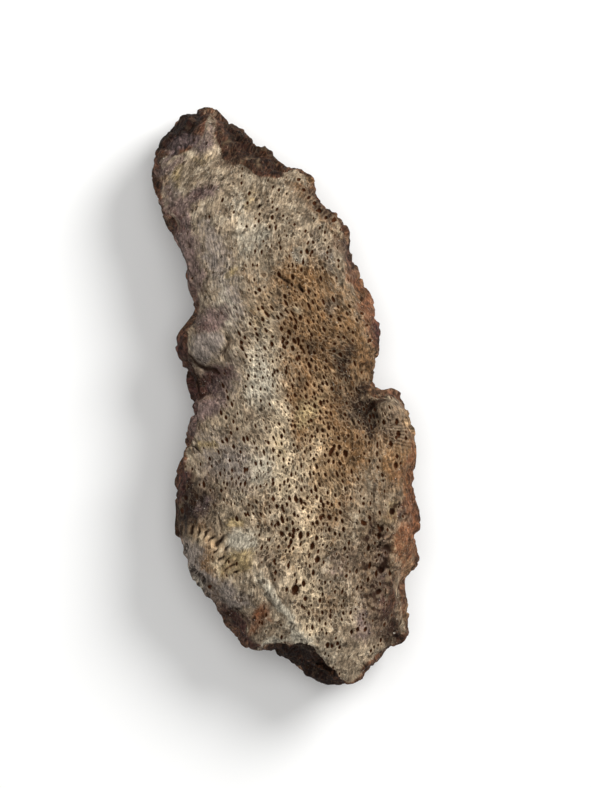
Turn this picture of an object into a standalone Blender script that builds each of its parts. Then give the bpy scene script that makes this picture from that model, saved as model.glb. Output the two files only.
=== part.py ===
"""A rough fragment of fossil coral stone, lying on its broken back with the pored face up.

One natural solid. Its outline is a ragged, slightly bent slab. Round the pored face runs a
sloping band of broken edges, the sides tuck in below the widest line, and the back is worn
flat where it rests. +X is the right of the pored face, +Y its narrow upper end, +Z up.
"""
import math

import bmesh
import bpy
import numpy as np
from mathutils import Vector, geometry, noise

MM = 0.001

# Driving dimensions, in millimetres
FACE_RIM_HEIGHT = 13.4      # pored face, just inside its lip
FACE_CROWN = 2.4            # how much higher the middle of the face stands
CROWN_REACH = 11.0          # distance from the edge at which the crown is full
UPPER_END_DROP = 2.6        # the slab thins towards its narrow upper end
UPPER_END_FROM = 6.0
UPPER_END_TO = 34.0
BACK_DEPTH = -0.20          # the back lies this far below the resting plane before it is worn flat
TUCK_WIDTH = 5.2            # how far the underside tucks in from the widest line

# The broken edge, clockwise from the top of the stone. Each stretch has the height of its
# widest line, the roundness of its band (0 a straight break, 1 a rounded shoulder) and its
# points: x, y and the width of the sloping band inside that point.
EDGE = {
    "top break": (6.0, 0.1, [
        (-8.6, 34.0, 1.2), (-7.4, 33.2, 2.4), (-4.8, 31.7, 4.3), (-3.2, 30.5, 4.6),
        (-1.6, 29.4, 3.8), (-1.2, 28.4, 3.0), (-0.4, 27.3, 1.9)]),
    "right shoulder": (8.5, 0.6, [
        (0.6, 27.0, 1.4), (2.6, 26.3, 1.5), (3.2, 25.1, 1.4), (4.4, 23.0, 1.1),
        (6.6, 20.8, 1.1), (7.3, 19.4, 1.1)]),
    "right wall": (8.0, 0.5, [
        (7.7, 17.4, 1.2), (8.4, 15.8, 1.3), (8.6, 13.9, 1.3), (9.3, 12.4, 1.5)]),
    "right bulge": (8.5, 0.8, [
        (10.3, 10.8, 1.9), (11.1, 8.6, 2.2), (11.4, 6.5, 2.3), (11.2, 5.3, 2.2)]),
    "notch": (7.0, 0.3, [
        (10.1, 3.8, 1.4), (10.3, 2.3, 1.3), (10.8, 0.8, 1.3)]),
    "lobe": (8.5, 0.8, [
        (12.6, 0.5, 1.2), (13.7, -0.2, 1.4), (14.4, -1.7, 1.4), (15.4, -5.6, 1.7),
        (15.3, -7.6, 2.0)]),
    "rusty rim": (8.0, 0.9, [
        (14.8, -10.1, 2.1), (15.6, -14.1, 3.0), (15.9, -18.1, 3.2), (15.5, -19.6, 3.2),
        (14.0, -21.4, 3.0)]),
    "knobs": (7.5, 0.6, [
        (13.9, -23.3, 3.4), (14.5, -25.0, 3.6), (14.4, -26.2, 3.4), (14.8, -27.3, 3.2),
        (14.2, -28.6, 2.6)]),
    "foot": (7.0, 0.5, [
        (11.8, -30.4, 1.1), (9.1, -33.0, 0.9), (7.7, -34.0, 0.9)]),
    "foot break": (6.0, 0.1, [
        (5.5, -34.1, 1.9), (4.0, -33.6, 2.7), (1.8, -32.2, 2.9), (-0.6, -30.9, 1.9),
        (-1.7, -29.9, 1.0)]),
    "lower bevel": (7.0, 0.5, [
        (-3.2, -29.8, 1.0), (-4.9, -29.3, 1.2), (-7.4, -25.8, 1.5), (-8.8, -24.0, 1.7),
        (-10.4, -22.1, 1.9), (-11.4, -20.2, 1.9), (-12.4, -18.0, 1.9)]),
    "lower left wall": (7.5, 0.5, [
        (-12.9, -15.8, 1.7), (-12.4, -13.7, 1.5), (-12.6, -11.6, 1.9), (-13.1, -9.7, 2.1),
        (-12.5, -8.6, 1.4)]),
    "waist": (7.0, 0.4, [
        (-11.7, -7.1, 0.8), (-11.8, -5.5, 0.9), (-10.9, -2.5, 0.8), (-10.9, 0.2, 0.9)]),
    "flake spur": (8.0, 0.5, [
        (-11.2, 3.2, 0.8), (-12.3, 5.0, 0.9), (-12.7, 6.6, 1.1), (-12.0, 8.0, 0.9)]),
    "left wall": (7.5, 0.4, [
        (-10.5, 9.9, 0.8), (-11.4, 13.3, 1.1), (-11.9, 15.4, 1.0), (-13.0, 17.7, 1.2),
        (-14.4, 22.5, 0.9), (-15.3, 25.0, 1.0)]),
    "top left facet": (6.5, 0.2, [
        (-15.9, 27.6, 1.0), (-15.2, 29.1, 1.6), (-14.0, 31.2, 2.4), (-12.6, 32.9, 2.8),
        (-11.0, 33.8, 2.2)]),
}

# Relief of the pored face: x, y, half length, half width, direction of the length in degrees
# from +X, and height. A hollow has a negative height.
FACE_FORMS = {
    "long trough": (2.8, 3.0, 13.0, 4.2, 98.0, -0.9),
    "pit in the trough": (2.7, 5.4, 1.8, 1.3, 150.0, -0.7),
    "lower trough": (5.0, -12.0, 6.0, 3.2, 75.0, -0.5),
    "ridge left of the trough": (-3.6, 2.0, 11.0, 2.2, 97.0, 0.55),
    "upper left swell": (-9.0, 19.0, 7.5, 3.0, 105.0, 0.5),
    "dent by the upper left": (-4.2, 21.5, 4.5, 1.8, 60.0, -0.45),
    "top lobe": (-3.5, 27.2, 1.1, 0.9, 0.0, 0.6),
    "right shoulder swell": (4.6, 18.5, 5.0, 1.8, 125.0, 0.5),
    "bulge swell": (8.3, 7.5, 3.0, 1.8, 95.0, 0.6),
    "lobe swell": (12.6, -2.6, 2.6, 1.7, 110.0, 1.0),
    "hollow by the lobe": (10.1, -1.8, 2.2, 1.5, 100.0, -1.3),
    "tan side": (13.0, -8.0, 3.0, 1.6, 95.0, 0.5),
    "rim swell": (13.2, -15.2, 4.0, 1.4, 85.0, 0.5),
    "pitted slope": (11.0, -20.5, 6.5, 2.3, 88.0, -0.9),
    "foot swell": (6.8, -28.6, 3.4, 2.8, 60.0, 0.6),
    "smooth rib": (-0.9, -24.1, 5.4, 0.8, -55.0, 0.45),
    "smooth patch": (-5.3, -17.3, 1.6, 1.3, 20.0, 0.4),
    "maroon hollow": (-4.6, -27.4, 3.0, 1.4, -40.0, -0.8),
    "lower left dark slope": (-10.3, -12.0, 3.4, 1.8, 85.0, -0.9),
    "left crease": (-10.4, -6.1, 1.7, 0.6, 25.0, -0.9),
    "hollow under the flake": (-9.2, 1.4, 1.9, 1.7, 20.0, -1.3),
    "grey swell": (-6.5, -6.5, 5.0, 3.0, 80.0, 0.5),
}

# The bluish lens of stone on the left edge: a flat oval facet that dips outwards
LENS_CENTRE = (-9.5, 6.0)
LENS_HALF_LENGTH = 2.6
LENS_HALF_WIDTH = 2.0
LENS_DIRECTION = 75.0
LENS_DIP = 0.35
LENS_DROP = 0.5

# Open cracks in the face: half width, depth and points
CRACKS = {
    "beside the lens": (0.45, 1.1, [(-7.0, 7.3), (-6.8, 5.9), (-7.3, 4.3), (-8.6, 3.6), (-10.9, 3.5)]),
    "upper crevice": (0.40, 0.9, [(-1.2, 14.2), (0.6, 13.4), (2.5, 12.2)]),
    "left crack": (0.35, 0.7, [(-11.3, -6.7), (-9.3, -5.3)]),
    "behind the lobe": (0.40, 0.8, [(9.6, 0.9), (9.2, -1.2), (9.9, -3.6)]),
}

# Slanted slots between thin plates of the coral at the lower left
SLOT_COUNT = 5
SLOT_FIRST = (-10.0, -16.4)
SLOT_STEP = (0.95, -0.55)
SLOT_HALF_LENGTH = 1.1
SLOT_HALF_WIDTH = 0.30
SLOT_DIRECTION = 52.0
SLOT_DEPTH = 0.7

# Larger pores of the face: rows along the trough
PORE_ROW_SPACING = 2.2
PORE_SPACING = 2.1
PORE_SHARE = 0.78
PORE_SCATTER = 0.6
PORE_RADIUS = 0.70
PORE_SIZES = (0.75, 1.25)
PORE_DEPTH = 0.75
PORE_BELT = [(0.5, 17.0), (2.5, 8.0), (3.5, 0.0), (3.8, -9.0), (3.6, -18.0), (5.5, -25.0)]
PORE_BELT_HALF_WIDTH = 5.6
PORE_SEED = 11

# Broken surface of the sides and the back: tilted chips, then lumps of two sizes
CHIP_SIZE = 4.6
CHIP_TILT = 0.36
LUMP_SIZE = 3.4
LUMP_HEIGHT = 0.75
GRAIN_SIZE = 1.25
GRAIN_HEIGHT = 0.30
LEDGE_SPACING = 2.6         # growth layers that stand out as ledges round the sides
LEDGE_HEIGHT = 0.42
LEDGE_WAVE = 1.1
FACE_ROUGHNESS = 0.30       # share of that roughness on the pored face
REST_PAD = (11.0, 4.5)      # half length and half width of the worn pad that always stays flat
REST_PAD_DIRECTION = 84.0

# Mesh, in millimetres
OUTLINE_STEP = 0.55
SHEET_STEP = 0.75
BAND_RINGS = (0.12, 0.35, 0.65, 0.95)
VOXEL = 0.38
FLAT_SNAP = 0.06
TRIANGLES = 9400

STONE_COLOUR = (0.235, 0.180, 0.128, 1.0)
STONE_ROUGHNESS = 0.88


def clear_scene():
    for old in list(bpy.data.objects):
        bpy.data.objects.remove(old, do_unlink=True)


def smoothstep(low, high, value):
    share = np.clip((value - low) / (high - low), 0.0, 1.0)
    return share * share * (3.0 - 2.0 * share)


def turned(x, y, centre, degrees):
    """Coordinates along and across a direction, measured from a centre."""
    turn = math.radians(degrees)
    along = (x - centre[0]) * math.cos(turn) + (y - centre[1]) * math.sin(turn)
    across = (y - centre[1]) * math.cos(turn) - (x - centre[0]) * math.sin(turn)
    return along, across


def through_points(rows, step, closed):
    """Catmull-Rom curve through rows of numbers whose first two columns are x and y."""
    rows = np.array(rows, dtype=float)
    count = len(rows)
    spans = count if closed else count - 1
    samples = []
    for span in range(spans):
        if closed:
            before, start, end, after = (rows[(span + shift) % count] for shift in (-1, 0, 1, 2))
        else:
            start, end = rows[span], rows[span + 1]
            before = rows[max(span - 1, 0)]
            after = rows[min(span + 2, count - 1)]
        pieces = max(1, round(float(np.linalg.norm(end[:2] - start[:2])) / step))
        for piece in range(pieces):
            t = piece / pieces
            samples.append(0.5 * (2 * start + (end - before) * t
                                  + (2 * before - 5 * start + 4 * end - after) * t ** 2
                                  + (3 * start - before - 3 * end + after) * t ** 3))
    if not closed:
        samples.append(rows[-1])
    return np.array(samples)


def edge_curve():
    """Closed outline: x, y, band width, height of the widest line and roundness of the band."""
    rows = [(x, y, band, height, roundness)
            for height, roundness, points in EDGE.values()
            for x, y, band in points]
    return through_points(rows, OUTLINE_STEP, closed=True)


def to_outline(points, outline):
    """Distance from each point to the outline, and the row of the outline's nearest sample."""
    gaps = np.linalg.norm(points[:, None, :] - outline[None, :, :2], axis=2)
    nearest = gaps.argmin(axis=1)
    return gaps[np.arange(len(points)), nearest], nearest


def segment_distance(x, y, start, end):
    run = np.array(end) - np.array(start)
    share = ((x - start[0]) * run[0] + (y - start[1]) * run[1]) / float(run @ run)
    share = np.clip(share, 0.0, 1.0)
    return np.hypot(x - start[0] - share * run[0], y - start[1] - share * run[1])


def path_distance(x, y, path):
    gaps = [segment_distance(x, y, start, end) for start, end in zip(path[:-1], path[1:])]
    return np.min(gaps, axis=0)


def pore_centres():
    """Larger pores, in staggered rows along the middle belt of the face."""
    belt = through_points(PORE_BELT, PORE_ROW_SPACING, closed=False)
    chance = np.random.default_rng(PORE_SEED)
    centres = []
    for row, (start, end) in enumerate(zip(belt[:-1], belt[1:])):
        along = (end - start) / np.linalg.norm(end - start)
        across = np.array([along[1], -along[0]])
        reach = int(PORE_BELT_HALF_WIDTH / PORE_SPACING)
        for place in range(-reach, reach + 1):
            offset = (place + 0.5 * (row % 2)) * PORE_SPACING
            centre = start + across * offset + chance.uniform(-PORE_SCATTER, PORE_SCATTER, 2)
            size = chance.uniform(*PORE_SIZES)
            if chance.random() < PORE_SHARE:
                centres.append((centre, size))
    return centres


def face_relief(x, y):
    """Height that the named forms, the lens and the cracks add to the pored face."""
    relief = np.zeros_like(x)
    for centre_x, centre_y, half_length, half_width, direction, height in FACE_FORMS.values():
        along, across = turned(x, y, (centre_x, centre_y), direction)
        relief += height * np.exp(-(along / half_length) ** 2 - (across / half_width) ** 2)

    along, across = turned(x, y, LENS_CENTRE, LENS_DIRECTION)
    inside = 1.0 - smoothstep(0.75, 1.05, np.hypot(along / LENS_HALF_LENGTH, across / LENS_HALF_WIDTH))
    relief += inside * (LENS_DIP * (x - LENS_CENTRE[0]) - LENS_DROP - 0.6 * relief)

    for half_width, depth, points in CRACKS.values():
        gap = path_distance(x, y, points)
        relief -= depth * np.exp(-(gap / half_width) ** 2)

    for slot in range(SLOT_COUNT):
        centre = (SLOT_FIRST[0] + slot * SLOT_STEP[0], SLOT_FIRST[1] + slot * SLOT_STEP[1])
        along, across = turned(x, y, centre, SLOT_DIRECTION)
        relief -= SLOT_DEPTH * np.exp(-(along / SLOT_HALF_LENGTH) ** 4 - (across / SLOT_HALF_WIDTH) ** 2)

    for centre, size in pore_centres():
        gap = np.hypot(x - centre[0], y - centre[1]) / (PORE_RADIUS * size)
        relief -= PORE_DEPTH * size * np.exp(-gap ** 4)
    return relief


def face_height(x, y, inward):
    """Height of the pored face before its relief."""
    crown = FACE_CROWN * (1.0 - (1.0 - np.clip(inward / CROWN_REACH, 0.0, 1.0)) ** 2)
    return FACE_RIM_HEIGHT + crown - UPPER_END_DROP * smoothstep(UPPER_END_FROM, UPPER_END_TO, y)


def sheet_points(outline):
    """Points of one side of the slab: the outline, rings in its band, and a grid inside."""
    towards = np.roll(outline[:, :2], -1, axis=0) - np.roll(outline[:, :2], 1, axis=0)
    towards /= np.linalg.norm(towards, axis=1)[:, None]
    inward = np.column_stack([towards[:, 1], -towards[:, 0]])
    points = [outline[:, :2]]
    for share in BAND_RINGS:
        ring = outline[:, :2] + inward * (outline[:, 2] * share)[:, None]
        distance, _ = to_outline(ring, outline)
        points.append(ring[distance > 0.7 * share * outline[:, 2]])
    low, high = outline[:, :2].min(axis=0), outline[:, :2].max(axis=0)
    across, up = np.meshgrid(np.arange(low[0], high[0], SHEET_STEP), np.arange(low[1], high[1], SHEET_STEP))
    grid = np.column_stack([across.ravel(), up.ravel()])
    distance, nearest = to_outline(grid, outline)
    side = np.einsum("ij,ij->i", grid - outline[nearest, :2], inward[nearest])
    points.append(grid[(side > 0.0) & (distance > outline[nearest, 2])])
    return np.vstack(points)


def slab_mesh(outline):
    """Closed slab: an upper and a lower sheet over the outline, sharing the widest line."""
    points = sheet_points(outline)
    rim = len(outline)
    rim_edges = [(index, (index + 1) % rim) for index in range(rim)]
    flat, _, triangles, origins, _, _ = geometry.delaunay_2d_cdt(
        [Vector(point) for point in points], rim_edges, [], 1, 1e-5)
    flat = np.array([tuple(point) for point in flat])
    x, y = flat[:, 0], flat[:, 1]
    distance, nearest = to_outline(flat, outline)
    on_rim = distance < 1e-4
    band, girth, roundness = outline[nearest, 2], outline[nearest, 3], outline[nearest, 4]

    share = np.clip(distance / band, 0.0, 1.0)
    rounded = np.sqrt(1.0 - (1.0 - share) ** 2)
    rise = (1.0 - roundness) * share + roundness * rounded
    top = girth + (face_height(x, y, distance) - girth) * rise

    share = np.clip(distance / TUCK_WIDTH, 0.0, 1.0)
    fall = 0.5 * share + 0.5 * np.sqrt(1.0 - (1.0 - share) ** 2)
    bottom = girth + (BACK_DEPTH - girth) * fall

    model = bmesh.new()
    upper = [model.verts.new((x[i], y[i], top[i])) for i in range(len(flat))]
    lower = [upper[i] if on_rim[i] else model.verts.new((x[i], y[i], bottom[i])) for i in range(len(flat))]
    for a, b, c in triangles:
        model.faces.new((upper[a], upper[b], upper[c]))
        model.faces.new((lower[c], lower[b], lower[a]))
    bmesh.ops.recalc_face_normals(model, faces=model.faces)
    mesh = bpy.data.meshes.new("slab")
    model.to_mesh(mesh)
    model.free()
    return mesh


def applied(stone, kind, **settings):
    """Apply one modifier to the stone."""
    modifier = stone.modifiers.new(kind.lower(), kind)
    for name, value in settings.items():
        setattr(modifier, name, value)
    shaped = stone.evaluated_get(bpy.context.evaluated_depsgraph_get())
    mesh = bpy.data.meshes.new_from_object(shaped)
    stone.modifiers.clear()
    stone.data = mesh


def mesh_arrays(mesh):
    places = np.empty(len(mesh.vertices) * 3)
    mesh.vertices.foreach_get("co", places)
    normals = np.empty(len(mesh.vertices) * 3)
    mesh.vertices.foreach_get("normal", normals)
    return places.reshape(-1, 3), normals.reshape(-1, 3)


def chipped(place):
    """Height of the tilted chip that a point lies on."""
    _, corners = noise.voronoi(place / CHIP_SIZE)
    corner = corners[0]
    tilt = noise.noise_vector(corner * 7.3 + Vector((3.1, 8.2, 5.7)))
    return CHIP_TILT * CHIP_SIZE * tilt.dot(place / CHIP_SIZE - corner)


def ledge(place):
    """Step of the growth layers: each swells upwards and breaks off sharply below."""
    level = place.z + LEDGE_WAVE * noise.noise(Vector((place.x, place.y, 0.0)) / 6.0)
    return LEDGE_HEIGHT * ((level / LEDGE_SPACING) % 1.0 - 0.5)


def broken_surface(places):
    """Roughness of a broken face at each point: chips, ledges, lumps and grain."""
    heights = np.empty(len(places))
    for index, place in enumerate(places):
        spot = Vector(place)
        lump = noise.noise(spot / LUMP_SIZE)
        grain = noise.noise(spot / GRAIN_SIZE + Vector((40.0, 0.0, 0.0)))
        heights[index] = chipped(spot) + ledge(spot) + LUMP_HEIGHT * lump + GRAIN_HEIGHT * grain
    return heights


def weather(mesh, outline):
    """Roughen the broken sides and back, and carve the relief of the pored face."""
    places, normals = mesh_arrays(mesh)
    x, y, z = places.T
    distance, nearest = to_outline(places[:, :2], outline)
    on_face = smoothstep(0.35, 0.75, normals[:, 2]) * smoothstep(0.3, 1.0, distance / outline[nearest, 2])
    along, across = turned(x, y, (0.0, 0.0), REST_PAD_DIRECTION)
    pad = 1.0 - smoothstep(0.8, 1.3, np.hypot(along / REST_PAD[0], across / REST_PAD[1]))
    on_pad = pad * smoothstep(-0.5, -0.9, normals[:, 2])

    rough = broken_surface(places) * (1.0 - (1.0 - FACE_ROUGHNESS) * on_face) * (1.0 - on_pad)
    widest = np.exp(-(distance / 0.8) ** 2)
    rough *= 1.0 - 0.55 * widest
    places = places + normals * rough[:, None]
    places[:, 2] += face_relief(x, y) * on_face
    places[:, 2] = np.maximum(places[:, 2], 0.0)
    mesh.vertices.foreach_set("co", places.ravel())
    mesh.update()


def set_down(mesh):
    """Snap the worn back to the resting plane and centre the stone over the origin."""
    places, _ = mesh_arrays(mesh)
    places[places[:, 2] < FLAT_SNAP, 2] = 0.0
    middle = (places.min(axis=0) + places.max(axis=0)) / 2
    places[:, :2] -= middle[:2]
    mesh.vertices.foreach_set("co", (places * MM).ravel())
    mesh.update()


def stone_material():
    material = bpy.data.materials.new("weathered coral stone")
    material.use_nodes = True
    shader = material.node_tree.nodes["Principled BSDF"]
    shader.inputs["Base Color"].default_value = STONE_COLOUR
    shader.inputs["Roughness"].default_value = STONE_ROUGHNESS
    shader.inputs["Metallic"].default_value = 0.0
    return material


def build_stone():
    outline = edge_curve()
    stone = bpy.data.objects.new("fossil_stone", slab_mesh(outline))
    bpy.context.scene.collection.objects.link(stone)
    applied(stone, "REMESH", mode="VOXEL", voxel_size=VOXEL)
    weather(stone.data, outline)
    applied(stone, "TRIANGULATE")
    applied(stone, "DECIMATE", ratio=TRIANGLES / len(stone.data.polygons))
    set_down(stone.data)
    stone.data.name = "fossil_stone"
    stone.data.materials.append(stone_material())
    return stone


clear_scene()
build_stone()
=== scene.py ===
import math

import bpy
import numpy as np
from mathutils import Matrix, Vector


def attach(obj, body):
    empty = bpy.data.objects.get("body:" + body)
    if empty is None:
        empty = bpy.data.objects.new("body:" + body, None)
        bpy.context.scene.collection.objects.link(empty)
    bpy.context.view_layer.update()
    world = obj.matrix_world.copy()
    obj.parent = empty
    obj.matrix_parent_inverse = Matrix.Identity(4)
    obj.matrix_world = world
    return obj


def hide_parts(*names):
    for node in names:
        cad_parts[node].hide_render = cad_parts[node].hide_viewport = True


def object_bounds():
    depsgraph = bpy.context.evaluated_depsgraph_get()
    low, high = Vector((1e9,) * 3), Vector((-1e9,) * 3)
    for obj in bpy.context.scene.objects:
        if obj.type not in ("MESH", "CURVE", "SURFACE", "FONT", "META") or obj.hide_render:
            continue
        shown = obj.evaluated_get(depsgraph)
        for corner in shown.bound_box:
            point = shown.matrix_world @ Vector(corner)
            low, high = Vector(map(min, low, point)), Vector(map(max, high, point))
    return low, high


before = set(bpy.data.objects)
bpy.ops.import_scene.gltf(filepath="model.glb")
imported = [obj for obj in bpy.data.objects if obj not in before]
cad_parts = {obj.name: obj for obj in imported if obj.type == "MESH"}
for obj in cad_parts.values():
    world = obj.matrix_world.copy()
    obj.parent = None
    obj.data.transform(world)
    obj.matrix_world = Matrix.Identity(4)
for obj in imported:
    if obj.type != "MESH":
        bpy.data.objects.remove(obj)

CAD_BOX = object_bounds()

MM = 0.001
FAR = 9.0
NODE = "fossil_stone"

# Photograph frame: its size in pixels, the pixel at which the stone's middle lies, and the
# real size of one pixel at the height of the stone's widest line
PHOTO_WIDTH = 591
PHOTO_HEIGHT = 788
STONE_PIXEL = (285.0, 395.5)
PIXEL_MM = 0.118
PIXEL_PLANE_MM = 9.0
CAMERA_HEIGHT_MM = 800.0
SENSOR_MM = 36.0

# Mesh, in millimetres. Melting moves each point a share of the way to its neighbours' mean, on
# the face in more rounds than elsewhere.
COARSE_VOXEL = 0.50
MELT_ROUNDS = 7
MELT_SHARE = 0.35
FACE_MELT_ROUNDS = 14
FACE_MELT_SHARE = 0.5
TRIANGLES = 197000
BOX_MARGIN = 0.02
# The face begins and is whole where the surface looks up this much, and its rim wanders by
# noise: size, reach
FACE_STARTS = (0.18, 0.58)
RIM_WANDER = ((2.4, 0.22), (0.8, 0.12))
# What lies lower than this rests on the ground and is only a little uneven
RESTING_BELOW = 0.05
RESTING_HOLLOWS = 0.16

# Breaks with a crisp lip: how steeply the broken surface falls for each millimetre outwards,
# how deep it reaches, how dark it is at the lip and far from it, and the lip's points from one
# side of the stone to the other, followed by the corners that lie outside the stone. The
# colours of the face fade out over the soft width. The dark is painted shade and shadow on
# the broken surfaces, below the lip and out to the stone's edge.
LIP_HEIGHT = 13.6
LIP_ROUGHNESS = 0.22
BREAKS = {
    "top": {
        "fall": 1.5, "reach": 6.5, "soft": 0.36, "dark": (0.4, 0.62),
        "lip": [(-8.9, 34.6), (-8.3, 32.6), (-8.3, 30.4), (-7.3, 28), (-6.9, 27.3), (-5.3, 27.1),
                (-3.9, 26.5), (-2.7, 25.9), (-1.2, 25.6), (-0.4, 26), (0.7, 26.9), (1.6, 28)],
        "outside": [(9, 34), (0, 42)],
    },
    "foot": {
        "fall": 2.3, "reach": 8, "soft": 0.16, "dark": (0.6, 0.88),
        "lip": [(-3.5, -30.1), (-2.2, -29.6), (-0.8, -29.3), (1.1, -29.1), (2.6, -29), (4.1, -30.6),
                (6, -32.4), (8.2, -34.8)],
        "outside": [(0, -42)],
    },
    "top left": {
        "fall": 0.9, "reach": 6.5, "soft": 0.3, "dark": (0.22, 1),
        "lip": [(-17.5, 27), (-14.5, 28.2), (-12.6, 28.3), (-11.2, 28.6), (-10.4, 29.8), (-9.7, 31),
                (-9, 32.5), (-8.5, 34.8)],
        "outside": [(-9, 42), (-20, 32)],
    },
}

# Soft relief of the face in millimetres: x, y, half length, half width, direction of the
# length in degrees from +X, height
MOUNDS = {
    "trough pit": (2.9, 5.4, 1.5, 1, 150, -0.4),
    "hollow under the lens": (-8.9, 1.2, 2.3, 1.8, 15, -1.6),
    "pale spot in the hollow": (-8, 0.3, 0.5, 0.5, 0, 0.4),
    "strip left of the hollow": (-11.3, 1.4, 2.6, 0.8, 95, -1.3),
    "hollow by the lobe": (10, -2.2, 2.2, 1, 108, -1),
    "hollow above the lobe": (8.9, 0.2, 1, 0.7, 60, -0.5),
    "lobe edge": (12.6, -1.4, 1.9, 0.6, -20, 0.5),
    "dark slope": (11, -21, 6, 1.5, 88, -0.5),
    "smooth rib": (-0.8, -24.1, 5, 0.55, -56, 0.45),
    "top crest": (-8.9, 31.2, 2, 0.5, 80, 0.2),
    "maroon hollow": (-5, -26.8, 2.4, 1.1, -42, -0.7),
    "rust pit": (-3, -25.7, 1, 0.5, 70, -0.5),
    "mauve hollow": (-10.4, 23.6, 1.2, 0.7, 20, -0.5),
    "slope by the plates": (-8.8, -14.2, 2.4, 1, -70, -0.5),
    "knob of the left edge": (-11.2, -4.9, 0.8, 0.6, 70, 0.5),
    "left edge dip": (-11.7, -12.6, 2.2, 0.8, 85, -0.7),
    "low bulge": (-4.4, -8.8, 2.6, 2.2, 60, 0.35),
    "upper bulge": (-3, 18, 4, 2.4, 110, 0.15),
    "lower bulge": (2, -17, 3.6, 2.2, 100, 0.35),
    "right trough": (7.6, -1.6, 5, 1.4, 100, -0.4),
}
# Flat-topped swellings with a steep edge, by the same measures
PLATEAU_POWER = 6
PLATEAUS = {
    "lens": (-9.2, 6, 2.9, 2.05, 80, 0.55),
    "pale patch": (-5.3, -17.4, 1.4, 1.2, 20, 0.15),
    "blue grey patch of the crest": (-8.7, 28.9, 0.8, 0.7, 0, 0.25),
}
# Soft relief of the broken surfaces, by the same measures
BREAK_MOUNDS = {
    "hollow by the crest": (-6.6, 28.3, 0.9, 0.5, 80, -1),
    "hollow above the lobe": (-3.2, 28.8, 1.3, 0.5, -30, -1),
    "notch": (-1.2, 26.9, 0.7, 0.45, -20, -1),
    "lobe of the top": (-4.3, 27.7, 1, 0.5, -12, 0.9),
    "ridge of the top": (-5.2, 30.8, 2.6, 0.5, -52, 0.7),
    "second ridge of the top": (-1.8, 29, 2, 0.4, -40, 0.6),
    "ridge of the top left": (-12.2, 31.4, 2.4, 0.5, 48, 0.5),
}
# Small knobs of the rough right edge and the crest: x, y, radius, height
KNOBS = [
    (9.8, -17.2, 0.5, 0.35), (12.5, -17.4, 0.5, 0.35), (12.7, -19.6, 0.75, 0.55), (10.2, -21.8, 0.45, 0.3),
    (11, -15.9, 0.4, 0.3), (9.5, -19.9, 0.45, 0.25), (12.2, -23, 0.5, 0.35), (10.4, -24.2, 0.5, 0.3),
    (13, -21.4, 0.45, 0.3), (-8.6, 33, 0.35, 0.2), (-9.9, 29, 0.35, 0.2), (-9.3, 30.4, 0.3, 0.2),
    (-4.6, 28, 0.7, 0.5), (13.8, -24.9, 0.7, 0.4), (13.6, -26.6, 0.6, 0.3),
]
# Cracks, ledges and creases: half width, depth, darkness of their painted shade and the line they follow
CREASES = {
    "crack right of the lens": (0.24, 0.6, 0.7, [(-6.9, 7.4), (-6.7, 6.3), (-6.9, 5.4), (-7.6, 4.4)]),
    "ledge under the lens": (0.34, 1, 1, [
        (-11.5, 5.1), (-10.5, 3.9), (-9.3, 3.1), (-8.1, 2.9), (-7.3, 2.5)]),
    "left crack": (0.18, 0.5, 0.9, [(-11.3, -5.7), (-10.6, -6.1), (-9.6, -6.8)]),
    "edge crack": (0.2, 0.5, 1, [(-10.8, -1.4), (-10.2, -0.4), (-9.6, -0.1)]),
    "crevice": (0.2, 0.7, 0.9, [(-1.1, 14.1), (-0.1, 13.6), (0.7, 13.1)]),
    "crevice end": (0.3, 0.8, 1, [(1.4, 12.9), (2.3, 12.2)]),
    "lobe crease": (0.36, 0.9, 1, [(9.2, -2.3), (9.8, -1.5), (10.7, -0.8), (11.7, -0.5), (12.6, -0.4)]),
    "lobe line": (0.13, 0.3, 0.8, [(10.1, -4.1), (10.9, -3.6)]),
    "upper groove": (0.13, 0.35, 0.9, [(-3.5, 21.8), (-2.6, 22.5)]),
    "upper notch": (0.13, 0.3, 0.7, [(-4.2, 24.6), (-3.7, 25.1)]),
    "right side of the rib": (0.14, 0.35, 0.6, [
        (-3.7, -19), (-2.6, -19.2), (-1.9, -20.2), (-1.4, -21.8), (-0.7, -23.3), (0.8, -25.4)]),
    "left side of the rib": (0.14, 0.25, 0.4, [(-3.9, -20.4), (-2.9, -22.4), (-1.5, -24.6), (-0.4, -26.4)]),
    "arch": (0.12, 0.3, 0.7, [(-6.1, -13.9), (-5.3, -13.4), (-4.4, -13.5), (-3.7, -14.2)]),
    "left of the ochre": (0.16, 0.45, 0.8, [(-7.9, -14), (-7.5, -15.2), (-7.2, -16.3)]),
    "foot of the knobs": (0.2, 0.4, 0.8, [(9.5, -23.8), (10, -24.8), (11, -25.4), (11.6, -25.9)]),
    "under the maroon": (0.22, 0.4, 0.7, [(-6, -24.7), (-5, -25.6), (-4.1, -26.5)]),
    "mauve fold": (0.12, 0.25, 0.4, [(-12.6, 22.4), (-11.2, 24.5), (-9.6, 25.5), (-8.6, 25.7)]),
    "second mauve fold": (0.12, 0.25, 0.5, [(-12.4, 24.6), (-10.6, 25.6), (-8.9, 26.6), (-7.6, 26.9)]),
    "low line": (0.14, 0.3, 0.6, [(5.2, -13.4), (7, -14.2), (8.6, -15.2)]),
}
CREASE_DRIFT = ((0.9, 0.16), (0.35, 0.07))
# Pale edges on the broken surfaces, partly worn rims and partly painted highlights: half width, strength
# and the line they follow
PALE_EDGES = {
    "rim of the top lobe": (0.22, 0.6, [(-5.1, 27.6), (-4.5, 28), (-3.8, 28.1), (-3.2, 27.7), (-3, 27.2)]),
    "curl by the crest": (0.18, 0.5, [(-7.5, 29.4), (-6.9, 29.8), (-6.2, 29.4)]),
    "far edge of the top": (0.45, 0.35, [(-6.6, 32.4), (-5.4, 31.9), (-3.5, 30.8), (-1.9, 29.6)]),
    "bristles": (0.35, 0.3, [(-2.8, 29.6), (-1.9, 28.4), (-1.2, 27.4)]),
}
PALE_EDGE_DRIFT = ((0.35, 0.08),)
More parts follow.
